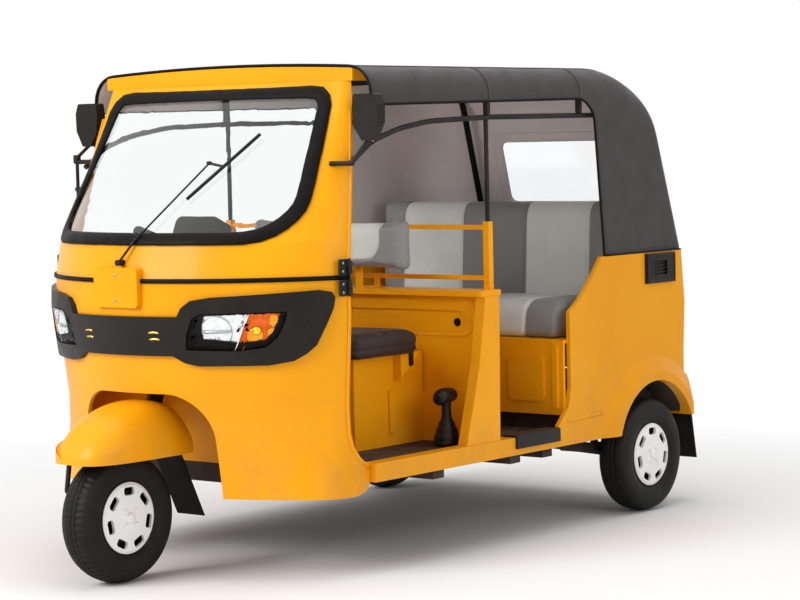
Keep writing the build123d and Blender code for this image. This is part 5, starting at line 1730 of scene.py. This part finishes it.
piece_from("hatch_handle", *handle_parts, black_steel, "hatch", slot="engine_hatch")
hinge_heads = [pan_head(on_hatch(x, 0.835), "+Y", 0.005, 0.003) for x in (-0.275, -0.245, 0.245, 0.275)]
piece_from("hatch_bolts", *gathered(hinge_heads), zinc, "hatch", slot="engine_hatch")
print("hatch handle at", [round(v, 3) for v in boss])

# %% [markdown]
# Each wheel is held by four nuts round a small hub cap. The nuts are hexagons
# with a domed end, turned with six sides and left flat, which is what a real nut
# looks like.

# %% Wheel nuts and hub caps
nut_circle, cap_rim = 0.031, 0.017
nut_profile = [(-0.003, 0.0085), (0.006, 0.0085), (0.0075, 0.0068), (0.0095, 0.0050), (0.0105, 0.0)]
cap_profile = [(-0.004, 0.019), (0.002, 0.019), (0.006, 0.0165), (0.008, 0.010), (0.0085, 0.0)]
for node, side in (("front_wheel", 1), ("rear_left_wheel", 1), ("rear_right_wheel", -1)):
    low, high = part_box(node)
    axle = (low + high) / 2
    cover = surface_of(node)

    def on_wheel(y, z):
        return cover.ray_cast(Vector((axle.x + side * 0.4, y, z)), Vector((-side, 0, 0)))[0]

    nuts = []
    for i in range(4):
        angle = math.pi / 4 + math.pi / 2 * i
        spot = on_wheel(axle.y + nut_circle * math.cos(angle), axle.z + nut_circle * math.sin(angle))
        nuts.append(turned([(side * a, r) for a, r in nut_profile], spot, "X", 6))
    piece_from(node + "_nuts", *gathered(nuts), wheel_paints[node], node, slot=node, flat_shaded=True)
    cap_place = on_wheel(axle.y + cap_rim, axle.z)
    cap = turned([(side * a, r) for a, r in cap_profile], (cap_place.x, axle.y, axle.z), "X", 28)
    piece_from(node + "_hub_cap", *cap, wheel_paints[node], node, slot=node)
    print(node, "nuts on the cover at", round(cap_place.x, 3))

# %% [markdown]
# Two round red reflectors sit on the rear bumper.

# %% Bumper reflectors
bumper_surface = surface_of("rear_bumper")
disc = [(-0.002, 0.028), (0.004, 0.028), (0.006, 0.026), (0.0068, 0.018), (0.0072, 0.009), (0.0074, 0.0)]
reflectors = []
for x in (-0.44, 0.44):
    place = bumper_surface.ray_cast(Vector((x, 1.6, 0.425)), Vector((0, -1, 0)))[0]
    reflectors.append(turned(disc, place, "Y", 32))
chassis_trim("rear_reflectors", gathered(reflectors), red_lens, "rear_bumper")
print("reflectors placed")

# %% [markdown]
# Inside, the partition behind the driver is a pressing with a raised border and
# two rubber grommets, each closed by a black disc that is painted shade for the
# open hole. The border is a slim bead on the wall, with round ends.

# %% Partition bead and grommets
wall_surface = surface_of("partition")


def on_wall(x, z):
    place = wall_surface.ray_cast(Vector((x, -0.6, z)), Vector((0, 1, 0)))[0]
    return Vector((x, place.y, z))


bead_corners = [(-0.565, 0, 0.715), (0.565, 0, 0.715), (0.585, 0, 0.842), (-0.585, 0, 0.842)]
bead_plan = rounded_run(bead_corners, 0.055, 8, closed=True)
wall_line = []
for a, b in zip(bead_plan, bead_plan[1:] + bead_plan[:1]):
    wall_line += [on_wall(p.x, p.z) for p in spaced(a, b, 0.03)]
wall_bead = swept(wall_line, ring_outline(0.013, 0.005, 8), Vector((0, -1, 0)), closed=True)
chassis_trim("partition_bead", wall_bead, lightened_inner_enamel, "partition")
# The profile runs in to the axle, so a black disc closes each hole: painted shade.
shade_disc_grommet_line = [(0.004, 0.0105), (0.0, 0.0145), (-0.003, 0.0135), (-0.004, 0.0110)]
shade_disc_grommet_line += [(-0.002, 0.0085), (0.0, 0.0070), (0.0, 0.0)]
hole_z, beside_hole = 0.76, 0.018
grommets = []
for x in (-0.5, 0.5):
    grommets.append(turned(shade_disc_grommet_line, (x, on_wall(x + beside_hole, hole_z).y, hole_z), "Y", 28))
chassis_trim("partition_grommets_with_shade_discs", gathered(grommets), black_rubber, "partition")
print("partition wall at y", round(wall_line[0].y, 4))

# %% [markdown]
# The floor is covered by ribbed rubber mats. One rib is a low round bar, and
# the mat is a row of them, each laid on the floor where a ray from above lands.

# %% Floor mat ribs
floor_surface = surface_of("floor_pan")


def on_floor(x, y):
    return floor_surface.ray_cast(Vector((x, y, 0.9)), Vector((0, 0, -1)), 0.6)[0]


mat_half, rib_gap, rib_count, above_floor_z = 0.544, 0.034, 33, 0.38
mat_ribs = []
for first, last in ((-0.64, -0.37), (0.125, 0.440)):
    for i in range(rib_count):
        x = -mat_half + rib_gap * i
        spots = [on_floor(x, first + (last - first) * t / 4) for t in range(5)]
        if all(s is not None and s.z < above_floor_z for s in spots):
            mat_ribs.append(swept(spots, ring_outline(0.012, 0.006, 6), Vector((0, 0, 1))))
chassis_trim("floor_mat_ribs", gathered(mat_ribs), mat_rubber, "floor_pan")
print("mat ribs", len(mat_ribs))

# %% [markdown]
# The hand lever is a thick moulded grip on a short neck over a bellows. Turning
# a profile round the upright gives the bellows its folds, and the grip is a
# rounded bar laid along the vehicle.

# %% Hand lever with bellows
lever_low, lever_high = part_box("hand_lever")
lever_x, lever_y = (lever_low.x + lever_high.x) / 2, (lever_low.y + lever_high.y) / 2
bellows = [(0.000, 0.0), (0.000, 0.046), (0.012, 0.047), (0.022, 0.043), (0.030, 0.045), (0.040, 0.042)]
bellows += [(0.047, 0.036), (0.054, 0.038), (0.063, 0.033), (0.069, 0.027), (0.076, 0.029), (0.084, 0.024)]
bellows += [(0.092, 0.018), (0.110, 0.016), (0.150, 0.0165), (0.165, 0.020), (0.170, 0.0)]
boot = turned(bellows, (lever_x, lever_y, lever_low.z), "Z", 40)
grip_top = lever_high.z
grip_points, grip_steps = [], 20
grip_rows = [(-0.052, 0.004), (-0.050, 0.016), (-0.043, 0.024), (-0.030, 0.028), (-0.010, 0.028)]
grip_rows += [(0.012, 0.026), (0.028, 0.024), (0.040, 0.018), (0.047, 0.010), (0.048, 0.002)]
for along, radius in grip_rows:
    droop = -0.010 * max(0.0, -along / 0.05) ** 2
    for i in range(grip_steps):
        a = 2 * math.pi * i / grip_steps
        z = grip_top - 0.031 + droop + radius * math.sin(a)
        grip_points.append(Vector((lever_x + radius * 1.1 * math.cos(a), lever_y + along, z)))
grip_form = (grip_points, grid_faces(len(grip_rows), grip_steps, round_columns=True))
lever_form = gathered([boot, grip_form])
lever = piece_from("hand_lever_grip", *lever_form, bezel_plastic, "chassis", ["hand_lever"], "hand_lever")
lever_smooth = lever.modifiers.new("soft_forms", "SUBSURF")
lever_smooth.levels = lever_smooth.render_levels = 1
print("hand lever top", round(grip_top, 3))

# %% [markdown]
# A bent steel strap holds the front of the driver's seat down to the pedestal.

# %% Seat hold-down straps
pedestal_surface = surface_of("driver_pedestal")
strap_y, pedestal_top_z = -0.085, 0.65
strap_spots = []
for z in (0.664, 0.645, 0.62, 0.60, 0.585):
    start = Vector((0.7, strap_y, min(z, pedestal_top_z)))
    place = pedestal_surface.ray_cast(start, Vector((-1, 0, 0)))[0]
    strap_spots.append(Vector((place.x + 0.002, strap_y, z)))
strap_parts = [swept(strap_spots, ring_outline(0.026, 0.005, 8), Vector((1, 0, 0)))]
strap_parts.append(pan_head(strap_spots[-2] + Vector((0.002, 0, 0)), "+X", 0.006, 0.004))
chassis_trim("seat_hold_downs", mirrored_too(*gathered(strap_parts)), black_steel, "driver_pedestal")
print("seat strap at x", round(strap_spots[0].x, 3))

# %% [markdown]
# The instrument pod has a round dial behind a rim. A dial needs ticks to read as
# one: plain bars round the edge and a needle, with no numbers or words.

# %% Dial with ticks and needle
pod_foot_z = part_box("instrument_pod")[0].z
pod_surface = surface_of("instrument_pod")
pod_up = Vector((0, 0.40674, 0.91355)).normalized()
pod_start = Vector((0, -0.3, pod_foot_z + 0.050))
pod_place, pod_normal, _, _ = pod_surface.ray_cast(pod_start, Vector((0, -1, 0)))
face_out = pod_normal if pod_normal.y > 0 else -pod_normal
face_up = (pod_up - face_out * pod_up.dot(face_out)).normalized()
face_right = face_up.cross(face_out)


def on_dial(u, v, proud):
    return pod_place + face_right * u + face_up * v + face_out * proud


def dial_ring(radius, proud, count=40):
    turns = [2 * math.pi * i / count for i in range(count)]
    return [on_dial(radius * math.cos(a), radius * math.sin(a), proud) for a in turns]


rim_form = swept(dial_ring(0.029, 0.002), ring_outline(0.006, 0.006, 8), face_out, closed=True)
piece_from("dial_rim", *rim_form, grey_plate, "steering", slot="instrument_pod")
ticks = []
for i in range(13):
    angle = math.radians(225 - 270 * i / 12)
    inner = 0.019 if i % 3 == 0 else 0.022
    ends = [on_dial(r * math.cos(angle), r * math.sin(angle), 0.0012) for r in (inner, 0.0245, 0.025)]
    ticks.append(swept(ends, ring_outline(0.0014, 0.0008, 6), face_out))
needle = [on_dial(r * math.cos(2.6), r * math.sin(2.6), 0.0024) for r in (-0.004, 0.008, 0.020)]
ticks.append(swept(needle, ring_outline(0.0018, 0.001, 6), face_out))
tick_white = dark_finish("dial_marks", (0.75, 0.74, 0.70), 0.5, 300.0, 0.00005, (0.4, 0.38, 0.35), 0.1)
piece_from("dial_marks", *gathered(ticks), tick_white, "steering", slot="instrument_pod")
print("dial faces", [round(v, 2) for v in face_out])

# %% [markdown]
# The handlebar gets what a rider reaches for: ribbed rubber grips and a lever
# in front of each. The grips follow the outer run of the bar, which is given by
# the tube's tip and the way it points.

# %% Grips and control levers
tip = Vector((0.330, -0.6566, 1.0941))
along_bar = Vector((0.220, 0.050, 0.050)).normalized()
side_way = along_bar.cross(Vector((0, 0, 1))).normalized()
up_way = side_way.cross(along_bar)
rib_radius, rib_step = 0.0165, 0.0105
rib_turns = [2 * math.pi * k / 20 for k in range(20)]
hand_parts = []
for i in range(11):
    middle = tip - along_bar * (0.008 + rib_step * i)
    run = [middle + (side_way * math.cos(a) + up_way * math.sin(a)) * rib_radius for a in rib_turns]
    hand_parts.append(swept(run, ring_outline(0.004, 0.0035, 6), along_bar, closed=True))
piece_from("grip_ribs", *mirrored_too(*gathered(hand_parts)), black_rubber, "steering", slot="handlebar")
lever_bends = ((0.150, -0.012, 0), (0.150, -0.045, -0.004), (0.110, -0.056, -0.006), (0.010, -0.050, -0.006))
lever_line = rounded_run([tip - along_bar * back + Vector((0, y, z)) for back, y, z in lever_bends], 0.02)
levers = swept(lever_line, ring_outline(0.010, 0.006, 8), Vector((0, 0, 1)))
piece_from("control_levers", *mirrored_too(*levers), zinc, "steering", slot="handlebar")
print("levers end at", [round(v, 3) for v in lever_line[-1]])

# %% [markdown]
# The mirrors need a mirror: a slightly domed silver pane set in the rear face of
# each head, inside a rubber rim.

# %% Mirror glass
mirror_surface = surface_of("mirrors")


def mirror_pane(shrink, proud):
    """The outline of the mirror head seen from behind, drawn in by an amount, and its middle."""
    centre = Vector((0.622, 1.456))
    run = []
    for i in range(36):
        a = 2 * math.pi * i / 36
        way = Vector((math.cos(a), math.sin(a)))
        last = None
        for step in range(4, 60):
            spot = centre + way * step * 0.002
            start = Vector((spot.x, -0.3, spot.y))
            place = mirror_surface.ray_cast(start, Vector((0, -1, 0)), 0.30)[0]
            if place is None:
                break
            last = (step * 0.002, place)
        reach = last[0] - shrink
        run.append(Vector((centre.x + way.x * reach, last[1].y, centre.y + way.y * reach)))
    level = max(p.y for p in run) + proud
    return [Vector((p.x, level, p.z)) for p in run], Vector((centre.x, level + 0.001, centre.y))


outline, hub = mirror_pane(0.010, 0.0008)
pane_points = outline + [hub.lerp(p, 0.6) + Vector((0, 0.0006, 0)) for p in outline] + [hub]
count = len(outline)
pane_faces = grid_faces(2, count, round_columns=True)
pane_faces += [(count + i, count + (i + 1) % count, 2 * count) for i in range(count)]
chassis_trim("mirror_panes", mirrored_too(pane_points, pane_faces), silver_plate, "mirrors")
rim_bar = swept(outline, ring_outline(0.005, 0.004, 6), Vector((0, 1, 0)), closed=True)
chassis_trim("mirror_rims", mirrored_too(*rim_bar), black_rubber, "mirrors")
print("mirror panes made")

# %% [markdown]
# A foot brake stands on the right of the driver's floor: a bent arm with a
# ribbed rubber pad.

# %% Foot brake
pedal_x, pad_front_y, pad_slope = -0.24, -0.560, 0.37
arm_bends = ((-0.640, 0.352), (-0.640, 0.400), (-0.575, 0.440), (-0.545, 0.448))
arm_line = rounded_run([(pedal_x, y, z) for y, z in arm_bends], 0.025)
arm = swept(arm_line, ring_outline(0.016, 0.009, 8), Vector((1, 0, 0)))
chassis_trim("foot_brake_arm", arm, black_steel, "floor_pan")
pad_way = Vector((0, -0.35, 0.94)).normalized()
pad_parts = []
for i in range(6):
    y = pad_front_y + 0.009 * i
    run = [(x, y, 0.452 + (y - pad_front_y) * pad_slope) for x in (-0.272, -0.256, -0.240, -0.224, -0.208)]
    pad_parts.append(swept(run, ring_outline(0.010, 0.007, 8), pad_way))
chassis_trim("foot_brake_pad", gathered(pad_parts), black_rubber, "floor_pan")
print("foot brake made")

# %% [markdown]
# The studio is a pale floor, a white surround and three soft lamps. The world
# shows white to the camera, to reflections and through glass, but lights the
# object less than that, so pale colours don't burn out. The floor fades to the
# same white far away, which hides its edge.

# %% Studio world
world_light, floor_radius, fade_start, fade_end = 0.52, 40, 1.2, 3.4
world = bpy.data.worlds.new("studio_world")
scene.world = world
world.use_nodes = True
tree = world.node_tree
tree.nodes.clear()
path = tree.nodes.new("ShaderNodeLightPath")
kinds = ("Is Camera Ray", "Is Glossy Ray", "Is Transmission Ray")
shown = sum_of(tree, *(path.outputs[kind] for kind in kinds), how="MAXIMUM")
strength = spread(tree, shown, 0.0, 1.0, world_light, 1.0)
background = add(tree, "ShaderNodeBackground", Color=(1.0, 1.0, 1.0, 1.0))
join(tree, strength, background.inputs["Strength"])
world_out = tree.nodes.new("ShaderNodeOutputWorld")
join(tree, background.outputs["Background"], world_out.inputs["Surface"])
print("world gives", world_light, "of the white it shows")

# %% Studio floor
floor_mesh = bpy.data.meshes.new("studio_floor")
turns = [a * math.pi / 32 for a in range(64)]
floor_points = [(floor_radius * math.cos(a), floor_radius * math.sin(a), 0) for a in turns]
floor_mesh.from_pydata(floor_points, [], [tuple(range(len(turns)))])
floor = bpy.data.objects.new("studio_floor", floor_mesh)
scene.collection.objects.link(floor)
floor_material, tree = new_material("studio_floor")
diffuse = add(tree, "ShaderNodeBsdfDiffuse", Color=(0.86, 0.86, 0.86, 1.0))
glow = add(tree, "ShaderNodeEmission", Color=(1.0, 1.0, 1.0, 1.0))
where = metres(tree)
length = tree.nodes.new("ShaderNodeVectorMath")
length.operation = "LENGTH"
join(tree, where, length.inputs[0])
far = spread(tree, length.outputs["Value"], fade_start, fade_end)
path = tree.nodes.new("ShaderNodeLightPath")
seen = sum_of(tree, path.outputs["Is Camera Ray"], path.outputs["Is Transmission Ray"], how="MAXIMUM")
fade = sum_of(tree, far, seen, how="MULTIPLY")
blend = tree.nodes.new("ShaderNodeMixShader")
join(tree, fade, blend.inputs[0])
join(tree, diffuse.outputs[0], blend.inputs[1])
join(tree, glow.outputs[0], blend.inputs[2])
floor_out = tree.nodes.new("ShaderNodeOutputMaterial")
join(tree, blend.outputs[0], floor_out.inputs["Surface"])
floor_mesh.materials.append(floor_material)
print("floor fades from", fade_start, "to", fade_end, "m")

# %% Studio lamps
def soft_lamp(name, place, target, size, power):
    """A rectangular lamp that faces a target; its size is in metres and its power in watts."""
    data = bpy.data.lights.new(name, "AREA")
    data.shape = "RECTANGLE"
    data.size, data.size_y = size
    data.energy = power
    lamp = bpy.data.objects.new(name, data)
    lamp.location = place
    lamp.rotation_euler = (Vector(target) - Vector(place)).to_track_quat("-Z", "Y").to_euler()
    scene.collection.objects.link(lamp)


soft_lamp("front_lamp", (-1.5, -6.5, 4.2), (0, -0.6, 0.8), (4.0, 3.0), 365.0)
soft_lamp("side_lamp", (6.5, -0.5, 2.6), (0, 0.2, 0.9), (4.0, 2.6), 66.0)
soft_lamp("top_lamp", (0.5, 0.5, 6.0), (0, 0, 0.8), (5.0, 5.0), 150.0)
scene.view_settings.view_transform = "Standard"
print("studio ready")
